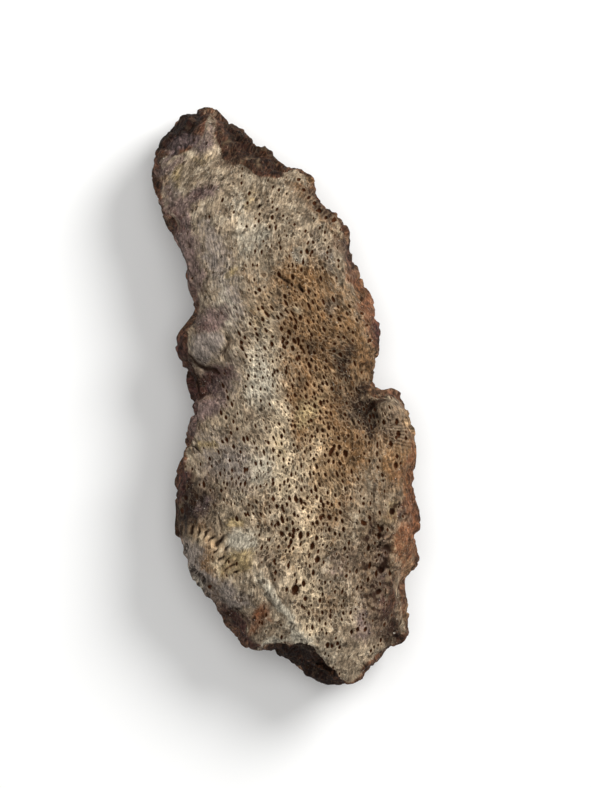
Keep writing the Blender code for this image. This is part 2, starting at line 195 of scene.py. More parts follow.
# Short slits and the slots between thin plates: x, y, half length, half width, direction, depth
SLITS = [
    (-2.5, 10.8, 0.24, 0.08, -35, 0.3), (-2.2, 11.2, 0.26, 0.08, -35, 0.3),
    (-1.9, 11.6, 0.27, 0.08, -35, 0.3), (-1.6, 12, 0.26, 0.08, -35, 0.3),
    (-1.3, 12.4, 0.22, 0.08, -35, 0.3), (-0.4, 11.1, 0.18, 0.08, -30, 0.25), (0, 9.8, 0.2, 0.08, 40, 0.25),
    (0.3, 10.2, 0.2, 0.08, 40, 0.25), (0.6, 10.5, 0.2, 0.08, 40, 0.25), (-10.9, -15.9, 0.5, 0.17, 78, 0.6),
    (-10.1, -16.1, 0.55, 0.16, 66, 0.55), (-9.3, -16.4, 0.6, 0.17, 56, 0.6),
    (-8.5, -16.8, 0.7, 0.17, 50, 0.6), (-7.6, -17.1, 0.95, 0.22, 50, 0.8),
    (-6.8, -17.9, 0.55, 0.14, 52, 0.45), (-7.4, -19, 0.65, 0.16, 42, 0.5),
    (-6.7, -19.3, 0.6, 0.14, 40, 0.45), (-6.1, -19.9, 0.6, 0.15, 36, 0.5),
    (-5.7, -20.7, 0.5, 0.13, 36, 0.4), (-6.9, -20.4, 0.45, 0.12, 38, 0.4),
    (-8.2, -18.3, 0.4, 0.13, 40, 0.35), (7, 0.6, 0.3, 0.12, 110, 0.35), (8, -3.1, 0.35, 0.15, 110, 0.45),
]
# The thin plates beside them: distance and width in half widths, height in parts of the depth
PLATE_AWAY = 1.9
PLATE_WIDTH = 0.7
PLATE_HEIGHT = 0.3

# Rows of fine ribs: x, y, half length, half width, the direction in which they follow each
# other, spacing, strength
RIBS = [
    (13.7, -4.4, 2.6, 1.5, 86, 0.42, 0.9), (3.9, 22.4, 2.9, 0.7, -45, 0.55, 0.9),
    (14.4, -17.6, 6.5, 1.1, 92, 0.42, 0.5), (11.6, -0.8, 1.8, 0.5, -15, 0.4, 0.6),
    (10.4, 8.6, 3.4, 0.8, -76, 0.48, 0.6), (-11.4, -12.6, 2.6, 0.9, 85, 0.5, 0.5),
]
RIB_HEIGHT = 0.12
RIB_DRIFT = ((1.2, 0.20), (0.45, 0.10))

# Tubes of the coral, which open on the face as mouths in slanted rows
TUBE_WIDTH = 0.62
TUBE_LENGTH = 0.80
TUBE_DRIFT = 0.45
TUBE_SCATTER = 0.66
ROW_SLOPE = 0.12
# How far tubes and fibres lean to the right for each millimetre upwards: height y, lean
LEANS = [(-36, 0.25), (-18, 0.06), (-4, -0.2), (9, -0.42), (15, -0.12), (24, 0.38), (36, 0.5)]
# Radius of a mouth: its least, what chance adds, and what chance adds in the wide zones
MOUTH_LEAST = 0.070
MOUTH_MORE = 0.110
MOUTH_WIDE = 0.140
# A mouth's outline is a diamond at power 1 and an oval at power 2. Its length in widths is the
# least and what chance adds.
MOUTH_POWER = 1.6
MOUTH_LENGTH = (1.4, 1.1)
LONE_MOUTH_LENGTH = 1.6
# Depth: its least, and more for each millimetre of the radius
MOUTH_DEPTH = (0.10, 1.7)
LONE_MOUTH_DEPTH = (0.15, 1.7)
PIT_DEPTH = (0.20, 0.9)
# No other mouth opens this near to a lone one
CROWDED = 0.50
LEAST_POROUS = 0.13
# The most that is stored of the gap to a mouth, in its radii
MOST_GAP = 3.0

# Where open mouths crowd: x, y, half length, half width, direction, strength
POROUS_ZONES = [
    (2, 7, 8.5, 4.6, 98, 0.85), (3.5, -4, 8, 5.2, 95, 0.8), (2, -14, 7, 5.6, 85, 0.8),
    (4, -25, 4.5, 4, 70, 0.65), (-3.4, 6, 6, 2, 98, 0.6), (-4.5, -10, 6, 3.6, 90, 0.4),
    (12.5, -4.5, 3.5, 1.6, 100, 0.5), (3, 17, 6, 4, 120, 0.25), (11, -19, 6, 2, 88, 0.3),
]
BARE_ZONES = [
    (-9.2, 6, 2.4, 1.9, 75, 1), (-5.3, -17.4, 1.5, 1.3, 20, 1), (-0.8, -24.1, 5.6, 0.8, -56, 1),
    (-10.5, 18, 9, 2.2, 103, 0.8), (-11, 25, 4, 3.5, 100, 0.7), (-9.5, -23, 6, 2.2, -50, 0.8),
    (13.9, -15.5, 6.5, 1.6, 86, 0.75), (-10.4, 0.5, 3.5, 1.8, 95, 0.9), (9.5, 12, 6, 1.4, -70, 0.6),
    (2.6, -28.4, 2, 0.7, -40, 0.8), (-5.8, 12, 4, 1.2, 97, 0.5),
]
WIDE_ZONES = [
    (2, -17, 4, 2.4, 100, 0.9), (1.5, -13.5, 2, 4.5, 90, 0.5), (6, -14.5, 2, 1.5, 90, 0.6),
    (3, 4.8, 2, 1.4, 120, 0.8), (5.8, -6.8, 1.6, 1.4, 60, 0.6), (12.9, -4.4, 1.8, 1, 100, 0.8),
    (11, -19, 5, 1.6, 88, 0.8), (0.6, 7, 3, 2, 100, 0.5),
]
# The most open single mouths: x, y, radius
LONE_MOUTHS = [
    (3.4, 1.2, 0.17), (5.5, 0.8, 0.19), (4.2, -0.9, 0.24), (3.5, -1.2, 0.22), (4.4, -4.1, 0.2),
    (5.1, -3.8, 0.2), (5.7, -3.8, 0.16), (4.1, -2.7, 0.17), (7.4, -4.7, 0.17), (6.3, -5, 0.17),
    (5.3, -6.8, 0.24), (6.1, -6.9, 0.2), (7.1, -6.8, 0.3), (5.1, -7.7, 0.19), (5.7, -7.8, 0.17),
    (4.7, -7, 0.17), (9.9, -7.7, 0.17), (9.3, -6.8, 0.15), (-3, 12.4, 0.2), (-3.4, 12, 0.16),
    (-3.1, 10.1, 0.17), (-4.1, 8.4, 0.17), (-2.6, 8.9, 0.2), (-2.2, 7.6, 0.2), (-5.1, 6.2, 0.22),
    (-4.7, 6.8, 0.18), (-3.2, 6.5, 0.15), (0, 11.6, 0.2), (0.5, 12, 0.15), (-0.4, 7.8, 0.2),
    (0.5, 7.4, 0.23), (1.2, 8, 0.22), (-0.2, 6.7, 0.2), (1.1, 6.4, 0.24), (-0.1, 5.7, 0.22),
    (0.9, 5.5, 0.22), (2.1, 6.4, 0.16), (2.7, 5.7, 0.19), (1.8, 9.1, 0.22), (2.8, 12.2, 0.2),
    (0.8, 13, 0.18), (-0.4, -16.2, 0.26), (-0.8, -15, 0.25), (1.1, -13.9, 0.2), (1.5, -14.1, 0.17),
    (0.9, -14.9, 0.18), (2.1, -13.2, 0.17), (3.2, -17.6, 0.29), (3.7, -16.7, 0.22), (3.8, -19.2, 0.3),
    (1.2, -22.7, 0.46), (2.2, -22, 0.28), (2.4, -23.8, 0.24), (0.2, -22.7, 0.19), (-1.1, -20.7, 0.21),
    (0.2, -15.6, 0.2), (5.2, -14.3, 0.26), (6, -14.5, 0.2), (6.5, -13.7, 0.2), (6.7, -14.7, 0.2),
    (6.4, -12.7, 0.18), (5, -12.6, 0.2), (5.5, -12.8, 0.18), (2.6, -12, 0.18), (7.7, -12.1, 0.2),
    (5.9, -11.7, 0.17), (7.8, -27.7, 0.22), (8.5, -27.4, 0.2), (9.4, -27.4, 0.2), (5, -29.2, 0.24),
    (5.5, -29.3, 0.2), (4.4, -25.4, 0.18), (2.8, -25.5, 0.17), (7.7, -25.4, 0.18), (13.1, -3.1, 0.25),
    (13.3, -4.5, 0.27), (12.4, -5.7, 0.25), (14.2, -5, 0.18), (11.6, -3.1, 0.22), (13, -8.2, 0.27),
    (-5.1, 25.8, 0.14), (-1.4, 24.5, 0.15), (-4.2, 23.7, 0.19), (-4.4, 22.6, 0.16), (-1.5, 20.9, 0.2),
    (0.2, 23.7, 0.13), (-3, 21.3, 0.15), (-4.5, 19.8, 0.15), (-3.5, 19.9, 0.13), (-6, 21.5, 0.13),
    (2.6, 16.9, 0.22), (1.9, 16.8, 0.15), (3.3, 18, 0.16), (5.1, 17.4, 0.15), (-0.7, 14.2, 0.22),
    (0.9, 13.9, 0.22), (0.2, 18.7, 0.13), (-6, -6, 0.19), (-5.2, -6.6, 0.16), (-6.9, -2.6, 0.18),
    (-3.4, -8, 0.18), (-0.4, -4.8, 0.18), (-6.3, -4.4, 0.18), (-5.6, -3.9, 0.16),
]
# Ragged pits of the edges: x, y, radius
PITS = [
    (9.2, -14.9, 0.36), (11.2, -15.6, 0.36), (11.3, -20.5, 0.38), (11, -23, 0.34), (12.6, -13.6, 0.34),
    (2.2, 24.2, 0.24), (2.8, 23.3, 0.25), (3.4, 22.6, 0.25), (4, 21.7, 0.27), (4.8, 20.9, 0.25),
    (5.7, 20.6, 0.24), (1.6, 25.4, 0.22), (9, 9.6, 0.2), (9.6, 8.2, 0.22), (9.9, 6.4, 0.22),
    (-11.6, -12, 0.3), (-8.8, -22.4, 0.3),
]
# Knobby parts of the face: x, y, half length, half width, direction, strength
KNOBBY_ZONES = [
    (10.7, -19.2, 7.4, 2.5, 87, 1), (12.6, -26, 2.4, 1.2, 90, 0.8), (3.6, 22.6, 4.6, 0.7, -44, 0.6),
    (-11.6, -12.4, 3.4, 1.1, 85, 0.9), (-9.4, 1.2, 2.8, 2, 20, 0.9), (9.8, 9, 4, 1.2, -72, 0.5),
    (-6.4, -26.6, 3.6, 1.3, -46, 0.5), (13.6, -12.6, 2.6, 1.5, 80, 0.7), (-13, 20, 5, 0.8, 103, 0.5),
    (8.8, -0.6, 1.8, 1.2, 110, 0.5), (7, 15.6, 4, 0.8, -68, 0.4), (-8.6, -20.4, 3, 1.4, -50, 0.4),
]
KNOB_SPACING = 1.05
KNOB_HEIGHT = 0.60
KNOB_DRIFT = ((0.7, 0.22), (0.3, 0.10))
# Share of the knobs that get a painted highlight
PALE_KNOBS = 0.25

# Stains and tints on the face: x, y, half length, half width, direction, strength. The dark
# tint is painted shade in hollows, dips and creases and under ledges; the umber beside the lens
# and under the crest and the maroon in the hollow under the lens are partly painted shade.
TINTS = {
    "brown": [
        (2.9, 8.2, 7, 3.4, 100, 0.95), (4.2, -1.7, 6, 3.8, 95, 0.9), (1.8, 12.6, 3.6, 3, 120, 0.7),
        (7.3, -5.6, 5.5, 3, 95, 0.75), (5.5, -13.5, 6, 3, 90, 0.4), (1.8, -19.6, 4, 2, 95, 0.3),
        (13, -7.6, 3.5, 1.8, 95, 0.9), (4.5, 24.5, 3, 1, -40, 0.5), (5, -24.5, 3, 2, 20, 0.35),
        (-5, 22.5, 2.6, 1.2, 60, 0.3), (-2.4, -14, 3, 1.6, 90, 0.35), (-3.6, 12.8, 3.5, 1.2, 100, 0.3),
        (-9, -19.6, 2.4, 1.6, -50, 0.6), (-10.2, -15.4, 1.8, 1, 0, 0.6), (3.4, 22.4, 4.4, 0.8, -44, 0.8),
        (8.2, 5.6, 8, 2.4, 98, 0.7), (10.2, 12, 5, 1.3, -71, 0.45), (13.2, -4.4, 3, 1.8, 95, 0.7),
        (4.4, -8.6, 5, 2, 90, 0.4), (1.5, -2.6, 3.6, 1.1, 93, 0.7), (10.8, -19.6, 6.8, 2, 87, 0.8),
        (14.4, -13.2, 1.8, 0.9, 90, 0.6)],
    "tan": [
        (15, -4.5, 4.5, 0.7, 97, 0.8), (8.6, 14.5, 5, 0.6, -66, 0.5), (15.8, -17.5, 2.2, 0.5, 90, 0.5),
        (-8.6, -17.3, 2.4, 1.2, -35, 0.6), (1.4, -17.5, 4, 2.4, 90, 0.5), (14, -18.4, 3.2, 0.9, 90, 0.9),
        (14.2, -24.5, 2.4, 0.6, 90, 0.6), (1.3, 10.2, 1, 0.8, 0, 0.6), (3.4, -13.4, 4, 1, 90, 0.7),
        (-14.3, 25, 1.8, 0.6, 100, 0.7), (3.8, -5.8, 3.2, 1.5, 88, 0.8), (4.4, 0.6, 2.4, 1.8, 90, 0.6),
        (8.6, 1.6, 1.6, 0.8, 100, 0.4), (5.4, -10.8, 3.6, 1.2, 90, 0.5), (10, 6, 2.6, 1, 90, 0.5),
        (-2.4, 10.6, 2.6, 1, 60, 0.5)],
    "pale": [
        (1.6, -17, 4, 2, 95, 0.5), (3.4, -13.6, 3.4, 0.9, 90, 0.4), (3.5, -23.8, 1.6, 1, 90, 0.5),
        (3.6, -6.2, 2.2, 1, 90, 0.35), (-0.4, -5.2, 5, 1.8, 95, 0.65), (-0.6, -9.8, 3, 1.9, 90, 0.6),
        (2.2, -22.4, 1.8, 1.2, 80, 0.55), (-8.8, 33.2, 0.5, 0.4, 80, 0.8), (-8, 0.2, 0.6, 0.45, 0, 0.8),
        (6.4, 19.9, 1.3, 0.45, -60, 1), (-2, 1, 4.2, 1.2, 97, 0.4), (-1.4, 5.4, 4.6, 1.6, 97, 0.3),
        (-7.8, -20, 1.5, 0.6, 50, 0.5), (13.9, -3.4, 2.6, 0.4, 100, 0.25), (2.2, -31.4, 1.6, 0.5, -40, 0.5),
        (12.4, -0.4, 1.6, 0.4, -15, 0.4), (3.6, 20.8, 2.4, 1.6, 120, 0.1), (3.7, -27.4, 1.8, 1.3, 0, 0.6),
        (5.2, -11.2, 2.6, 1, 0, 0.35), (2.6, -8, 1.4, 2.2, 0, 0.35), (1.3, 10.1, 1, 0.8, 0, 0.6),
        (12.7, -19.6, 0.7, 0.6, 90, 0.9), (12, -17.6, 0.9, 0.7, 60, 0.7), (5.4, -17.4, 1.2, 1, 0, 0.45),
        (-8.7, 28.9, 0.9, 0.6, 0, 0.5), (-7.3, -18.6, 0.7, 0.3, 50, 0.9), (-9.2, -16.9, 1.7, 0.3, 30, 0.7),
        (2.4, -28.3, 2.4, 0.8, -30, 0.5)],
    "bluegrey": [
        (-9.2, 6, 2.3, 1.7, 75, 1), (-6.3, 11.5, 5, 1.7, 97, 0.6), (-2.4, 1.2, 3.6, 1.6, 97, 0.35),
        (-5.6, -8.3, 3.4, 2.6, 90, 0.7), (-13.6, 24, 3, 1.2, 100, 0.5), (-10.2, -20.8, 4.6, 1.5, -58, 1),
        (-6.2, -23.6, 2.2, 1.5, -40, 0.8), (-9.2, 29.4, 1, 0.8, 0, 0.5), (-8.6, 17.6, 4.4, 1.8, 100, 0.6),
        (4.6, 17, 3.4, 1.4, 115, 0.35), (-3.2, -9, 2, 1.6, 0, 0.4), (-12.4, 29.4, 2.6, 0.7, 38, 0.5),
        (8.7, -24.4, 2.2, 1.3, 80, 0.4), (-6, 2, 3, 0.9, 95, 0.4), (-9, -6.6, 3, 2, 90, 0.5)],
    "ash": [
        (-5.3, -17.4, 1.8, 1.5, 20, 1), (-0.6, -24.6, 4.6, 0.75, -56, 0.85),
        (2.2, -28.6, 2.2, 0.9, -30, 0.8), (-2.9, 2, 4, 1.9, 97, 0.85), (-7, 10.5, 3.4, 1.3, 97, 0.5),
        (-2.4, -8.8, 2.6, 1.6, 90, 0.6), (-5, 19, 4, 1.4, 105, 0.5), (-5, 22.8, 1.4, 1, 60, 0.4),
        (1.3, 16.4, 1.2, 1, 0, 0.5), (-2.9, 18.7, 1.6, 1.2, 90, 0.6), (-7.3, -20.8, 1.2, 0.5, 60, 0.5),
        (5.5, -30, 2, 1.2, 60, 0.3), (-1.4, -29.2, 2.4, 0.45, 8, 0.9), (-10.4, -22, 1.4, 0.4, -60, 0.6),
        (-12.8, 29, 2, 0.4, 30, 0.4)],
    "ochre": [
        (-12.8, 25.9, 1.2, 0.9, 60, 0.55), (-9.4, 28, 1.4, 0.6, 10, 0.55), (-5.9, 14.2, 1.5, 0.9, 60, 0.6),
        (-5.7, -20.2, 1.9, 1.3, 20, 1), (-5.9, -14.7, 1.2, 0.9, 0, 0.8), (11.6, -14.2, 1, 0.9, 90, 0.75),
        (-4.4, 22.6, 2, 0.9, 80, 0.4), (12.6, -18, 2.6, 0.7, 85, 0.4), (7, 17.6, 2.6, 0.5, -68, 0.6),
        (2.4, -2.2, 1.8, 1.2, 60, 0.7), (12.2, -13.4, 1.2, 0.8, 60, 0.7), (-0.6, -6.8, 2.2, 0.7, 100, 0.45),
        (9, 12.6, 2, 0.7, -70, 0.5), (-9.2, -6.2, 1.2, 0.8, 0, 0.6), (-3.4, 8.6, 2, 1.2, 95, 0.3)],
    "rust": [
        (9.7, 10.9, 5.5, 0.9, -74, 0.8), (14.5, -15.4, 7, 1.3, 88, 0.75), (14.6, -12.9, 1.5, 0.8, 90, 0.7),
        (10.6, 6.9, 2.4, 1.1, 95, 0.8), (-2.9, -25.8, 1.8, 1, 64, 1), (-6.2, -20.6, 1.8, 1.1, 20, 0.35),
        (-3.6, 30.2, 3.2, 1.1, -42, 0.8), (4.2, 22.2, 3.6, 0.5, -44, 0.7), (14.9, -6.6, 3.5, 0.6, 97, 0.6),
        (2.4, -1.4, 1.2, 0.6, 60, 0.35), (12.9, -9.4, 1.6, 0.9, 60, 0.4), (-11.2, 9, 1.8, 0.5, 60, 0.5),
        (12.8, -25.8, 2.6, 0.9, 95, 0.5), (7.4, 16, 4, 0.8, -70, 0.6), (13.2, -18, 3, 0.8, 86, 0.5),
        (11.8, -13.6, 1.2, 0.9, 60, 0.45), (12, -18.4, 2.4, 0.7, 88, 0.35)],
    # Umber: the stone's own colour, and painted shade beside the lens and under the crest
    "umber": [
        (12.8, -3.6, 3.4, 1.9, 97, 0.8), (-6.6, 27.2, 2.4, 0.7, 0, 0.8), (6.9, 16.8, 2.2, 0.9, -62, 0.75),
        (2, 22.2, 1.6, 0.9, -40, 0.4), (3.9, 22, 3.6, 0.9, -45, 0.65), (-1.6, -20.4, 2.6, 1, 100, 0.4),
        (0.3, 7, 1.6, 1.2, 0, 0.35), (-5.2, 5.6, 1.4, 0.7, 90, 0.4), (-8.9, 30.6, 2.4, 0.9, 75, 0.5),
        (-4, -3, 1.6, 1, 60, 0.3), (-8.4, -23.4, 4, 1.2, -55, 0.4), (10.3, -19, 6.8, 1.9, 87, 0.6),
        (9.6, -28, 1.2, 0.8, 60, 0.5), (-10.4, -12.8, 3.8, 2.2, 85, 0.75), (7.2, -20, 3.2, 1.6, 80, 0.55),
        (8.4, -2.4, 3.4, 2, 105, 0.55), (6.6, 4.8, 2.4, 1.6, 100, 0.4), (-6.6, -11.4, 3.4, 2, 70, 0.25),
        (11.2, -26, 3.4, 2, 88, 0.85), (9.8, 12.8, 6, 1.2, -72, 0.3), (5.6, 10.2, 1.2, 1, 90, 0.8),
        (10.2, 4.6, 4.2, 1.2, 92, 0.3), (-6.7, 5.8, 1.8, 0.8, 92, 0.5), (11, -18.6, 5.5, 1.2, 88, 0.5),
        (-10.4, 9.2, 1.8, 1, 30, 0.5), (-9.6, -2.6, 2, 1.4, 60, 0.4), (-3, -19.6, 1, 0.8, 0, 0.5),
        (7.8, -17.6, 1.2, 0.8, 90, 0.5), (5.4, 10.4, 2.4, 1.4, 100, 0.35), (-12.6, 22, 3.6, 1.2, 100, 0.4),
        (1.2, -13.3, 1, 0.8, 0, 0.35), (14.2, -14.4, 1.6, 0.8, 90, 0.5), (-4, 16, 2.4, 1, 60, 0.3)],
    "mauve": [
        (11.6, 2.6, 2, 0.7, 100, 0.6), (-9.2, 30.2, 2.2, 0.9, 70, 0.6), (-7.6, 1.8, 1.8, 1.4, 20, 0.9),
        (-8.2, -0.6, 1.6, 1, 10, 0.9), (-11, 15.6, 5.2, 1.3, 103, 0.7), (-10.2, 23.7, 2.2, 1.2, 20, 0.9),
        (-12.2, 20.2, 3.4, 1.1, 100, 0.8), (-9.2, 2, 2.2, 1.7, 20, 0.6), (-8.4, 9.2, 2.4, 1.2, 30, 0.8),
        (-9.8, -1.6, 1.7, 1.1, 0, 0.8), (-8.8, -9, 2.4, 1.6, 60, 0.4), (9.1, -27, 2.4, 1, 95, 0.7),
        (-13.6, 27, 2.2, 0.6, 10, 0.7), (6, -20, 2.6, 1.4, 80, 0.35), (-4.8, -28, 2, 0.7, -40, 0.4),
        (-14.4, 24, 1.8, 0.7, 100, 0.6), (11.2, -20, 4, 1.2, 85, 0.35), (-11.4, 4, 1.4, 1, 90, 0.5),
        (-10.6, -3.2, 2.4, 0.8, 95, 0.6)],
    # Maroon: the stone's own colour, and painted shade in the hollow under the lens
    "maroon": [
        (-5.4, -26.8, 3.4, 0.9, -50, 0.9), (-12, -10.6, 2.2, 1.1, 80, 0.95), (-10.9, 0.6, 3.4, 0.9, 92, 1),
        (-11.5, -5, 1.2, 0.6, 80, 0.8), (-9.6, 1.2, 2.2, 1.5, 10, 0.7), (-7.4, 2.2, 1.6, 0.9, 10, 0.5),
        (7.6, 16.5, 3.5, 0.6, -66, 0.5), (2.9, 5.2, 1.5, 0.9, 150, 0.4), (-13.2, 17.6, 3, 0.5, 105, 0.9),
        (-12, 13.4, 3, 0.5, 100, 0.8), (10.8, 7.6, 1.8, 0.8, 95, 0.8), (-12.2, 5.6, 2, 0.8, 90, 0.8),
        (11.6, -19.4, 5, 1, 87, 0.35), (13, -13.6, 1.2, 0.8, 85, 0.6), (-9.6, 8.3, 1.5, 0.7, 20, 0.5),
        (-9.6, -25, 2.4, 0.8, -50, 0.6), (-10.4, 23.6, 1, 0.5, 15, 0.5), (-12.8, 20.4, 1.6, 0.5, 100, 0.5),
        (12.2, -24.4, 2.2, 1, 88, 0.7)],
    # Painted shade in hollows, dips and creases and under ledges
    "dark": [
        (-6.8, 28.6, 1.3, 0.7, 80, 0.7), (-3, 28.6, 1.7, 0.7, -35, 0.75), (-1, 26.7, 1, 0.6, -30, 0.9),
        (-9.9, 2.2, 1.8, 0.8, -20, 0.4), (9.6, -1.9, 2.4, 1.3, 112, 0.85), (7.2, 3.4, 2.8, 1.5, 100, 0.55),
        (4.4, 6.2, 2.6, 1.6, 100, 0.35), (4.6, 21.8, 3.8, 0.6, -44, 0.6),
        (-5.7, -26.9, 3.2, 0.6, -50, 0.45), (11.5, -19.5, 6, 1.6, 87, 0.12),
        (-10.6, -13.4, 2.2, 1.4, 80, 0.6), (12.8, -26.4, 2.4, 1, 90, 0.5), (12, -28, 1.4, 1.2, 60, 0.5),
        (11, -22, 5.4, 1.3, 88, 0.3), (10.4, -15.4, 1.6, 0.9, 60, 0.6), (-11.6, -12.8, 3.4, 1.1, 85, 0.75),
        (7, -1.6, 2.8, 1.2, 100, 0.4), (9.9, -0.6, 1, 0.6, 30, 0.8), (2.9, 5.4, 1.6, 1, 150, 0.45),
        (-10.3, 2.6, 2, 0.6, -60, 0.6), (7.4, 4.4, 2.2, 1.2, 100, 0.4), (9.9, -3.4, 3.4, 0.9, 97, 0.65),
        (-9.4, -22, 3.4, 0.8, -50, 0.5), (9.2, 0.4, 1.2, 0.8, 60, 0.7), (5.6, 0.6, 2, 1.6, 90, 0.1),
        (-9.3, -13.4, 1.8, 1, 80, 0.45), (-5.4, -25, 0.9, 0.6, 0, 0.7), (-13.6, 15.4, 3.4, 0.4, 105, 0.7),
        (-11.8, 0, 3.4, 0.5, 92, 0.8), (1, 8.4, 1.6, 1.6, 60, 0.12)],
    "slate": [
        (-12, 29.3, 3.2, 0.6, 36, 0.95), (-9.6, 29.6, 1.3, 0.8, 40, 0.65), (-9.6, -12.8, 1.7, 0.8, 80, 0.6),
        (-8.2, 1, 1, 0.8, 0, 0.5)],
}
TINT_DRIFT = ((2.0, 0.7), (0.6, 0.25))
# The stains and the painted shade fade out between these slopes, and all but a few grow weaker on the
# breaks
STAIN_AND_SHADE_REACH = (-0.35, 0.15)
STAINS_OF_BREAKS = ("bluegrey", "rust", "slate")
STAINS_LOST_ON_BREAKS = 0.5

# Colours as they look in plain light, red, green and blue from 0 to 255
PAINTS = {
    "grey": (146, 129, 107),
    "grey light": (176, 161, 138),
    "grey dark": (100, 86, 70),
    "brown": (114, 84, 54),
    "tan": (158, 130, 97),
    "pale": (192, 172, 142),
    "bluegrey": (128, 117, 108),
    "ash": (166, 157, 139),
    "umber": (98, 81, 66),
    "ochre": (146, 127, 92),
    "rust": (104, 67, 45),
    "mauve": (110, 92, 86),
    "maroon": (68, 42, 38),
    # Painted shade
    "dark": (32, 16, 11),
    "slate": (84, 70, 68),
    # Sides and back: red-brown rock, painted darker partly as painted shade of the steep sides
    "side": (84, 57, 41),
    "side light": (108, 86, 66),
    "side dark": (46, 27, 19),
    "side red": (84, 54, 41),
    # Painted shade of the hollows, also used for random dark mottling
    "dim": (66, 43, 22),
    # Painted shade in the mouths
    "mouth": (70, 37, 15),
    # Painted shade of creases and pits
    "crease": (42, 22, 12),
    # Pale plates and painted highlights
    "pale_and_highlight": (180, 154, 122),
    "rim": (198, 178, 146),
    # Painted glints
    "glint": (226, 218, 202),
}

# Sides and back. Chips: size, tilt
CHIP_SIZES = ((3.4, 0.30), (1.5, 0.30))
CHIP_SHARPNESS = 14.0
CHIP_JITTER = 0.9
SIDE_NOISE_SIZE = 1.3
SIDE_NOISE_HEIGHT = 0.20
FLUTE_SIZE = 0.45
FLUTE_LENGTH = 2.6
FLUTE_HEIGHT = 0.08
SIDE_MOST = 0.45
SIDE_PIT_SPACING = 0.85
SIDE_PIT_RADIUS = (0.14, 0.20)
SIDE_PIT_CHANCE = 0.30
SIDE_PIT_DEPTH = 0.26
# Fine unevenness of the face: size, height
FACE_NOISE = ((3.2, 0.30), (1.15, 0.19), (0.48, 0.10))
WALL_DIP = 0.06

# Flat map for baked colours: scale in parts of the image for each millimetre, and corner of
# the face, the back and the strips of the sides. The back and the sides are what looks up less
# than their slopes.
MAP_BACK_SLOPE = -0.5
MAP_SIDE_SLOPE = 0.35
MAP_ANGLES = 721
MAP_FACE = {"scale": 0.0134, "corner": (0.01, 0.02)}
MAP_BACK = {"scale": 0.0077, "corner": (0.46, 0.02)}
MAP_SIDES = {"strips": 3, "width": 0.53, "height": 0.187, "corner": (0.46, 0.29), "step": 0.21}

# Grain of the material in millimetres, and its gloss
EVENLY = (1.0, 1.0, 1.0)
BUMP_DISTANCE = 0.16
STONE_GLOSS = 0.12

# Stage: the floor's half width and the camera's near and far limit in metres, and the lights'
# place and size in millimetres and power in watts
FLOOR_HALF = 1.5
FLOOR_COLOUR = (0.90, 0.90, 0.89)
CAMERA_REACH = (0.02, 10.0)
LIGHTS = {
    "key": ((270, 210, 350), 230, 2.0),
    "overhead": ((-40, 60, 1000), 700, 4.0),
}
SKY_STRENGTH = 0.32


def smoothstep(low, high, value):
    share = np.clip((value - low) / (high - low), 0.0, 1.0)
    return share * share * (3.0 - 2.0 * share)


# Seeded noise on arrays of points


def lattice_random(cells, salt):
    """A repeatable number from 0 to 1 for each whole-numbered lattice cell."""
    mask = np.uint64(0xFFFFFFFF)
    bits = np.full(cells.shape[:-1], (salt * 2654435761 + 12345) & 0xFFFFFFFF, dtype=np.uint64)
    for axis in range(cells.shape[-1]):
        step = (cells[..., axis].astype(np.int64) + 4096).astype(np.uint64)
        bits = (bits ^ (step * np.uint64(0x9E3779B1) & mask)) * np.uint64(0x85EBCA6B) & mask
        bits ^= bits >> np.uint64(13)
        bits = bits * np.uint64(0xC2B2AE35) & mask
        bits ^= bits >> np.uint64(16)
    return bits.astype(np.float64) / 0xFFFFFFFF


def random_vectors(cells, salt, salt_step):
    """A repeatable vector for each cell, from -0.5 to 0.5 along each axis."""
    return np.stack([lattice_random(cells, salt + salt_step * axis) - 0.5
                     for axis in range(cells.shape[-1])], axis=1)


def combinations(choices, axes):
    """Every way to take one of the choices on each axis, one way in each row."""
    return np.stack(np.meshgrid(*([choices] * axes), indexing="ij"), -1).reshape(-1, axes)


def value_noise(points, size, salt=0):
    """Smooth noise from -1 to 1 with features of the given size."""
    spots = points / size
    cells = np.floor(spots).astype(np.int64)
    share = spots - cells
    share = share * share * share * (share * (share * 6.0 - 15.0) + 10.0)
    total = np.zeros(len(points))
    for corner in combinations([0, 1], points.shape[1]):
        weight = np.prod(np.where(corner == 1, share, 1.0 - share), axis=1)
        total += weight * lattice_random(cells + corner, salt)
    return total * 2.0 - 1.0


def layered_noise(points, size, layers, salt=0):
    """Smooth noise in layers, each about half as large and half as high as the one before."""
    total = np.zeros(len(points))
    for layer in range(layers):
        total += 0.5 ** layer * value_noise(points, size / 2.03 ** layer, salt + 17 * layer)
    return total


def nearest_cells(points, size, jitter, salt=0):
    """Jittered cells in space: the distance to the nearest centre in cell sizes, and the cell
    that owns it."""
    spots = points / size
    home = np.floor(spots).astype(np.int64)
    nearest = np.full(len(points), FAR)
    owner = np.zeros_like(home)
    for step in combinations([-1, 0, 1], points.shape[1]):
        cells = home + step
        away = spots - (cells + 0.5 + jitter * random_vectors(cells, salt, 7))
        gap = np.linalg.norm(away, axis=1)
        closer = gap < nearest
        owner[closer] = cells[closer]
        nearest = np.where(closer, gap, nearest)
    return nearest, owner


def chips(points, size, tilt, salt):
    """Height of a surface broken into chips, each tilted its own way, with worn edges."""
    spots = points / size
    home = np.floor(spots).astype(np.int64)
    height = np.zeros(len(points))
    weight = np.full(len(points), 1e-9)
    for step in combinations([-1, 0, 1], points.shape[1]):
        cells = home + step
        slope = random_vectors(cells, salt + 101, 1)
        away = spots - (cells + 0.5 + CHIP_JITTER * random_vectors(cells, salt, 7))
        share = np.exp(-CHIP_SHARPNESS * np.einsum("ij,ij->i", away, away))
        height += share * np.einsum("ij,ij->i", away, slope)
        weight += share
    return 2.0 * tilt * size * height / weight


# Shapes on the face, in millimetres


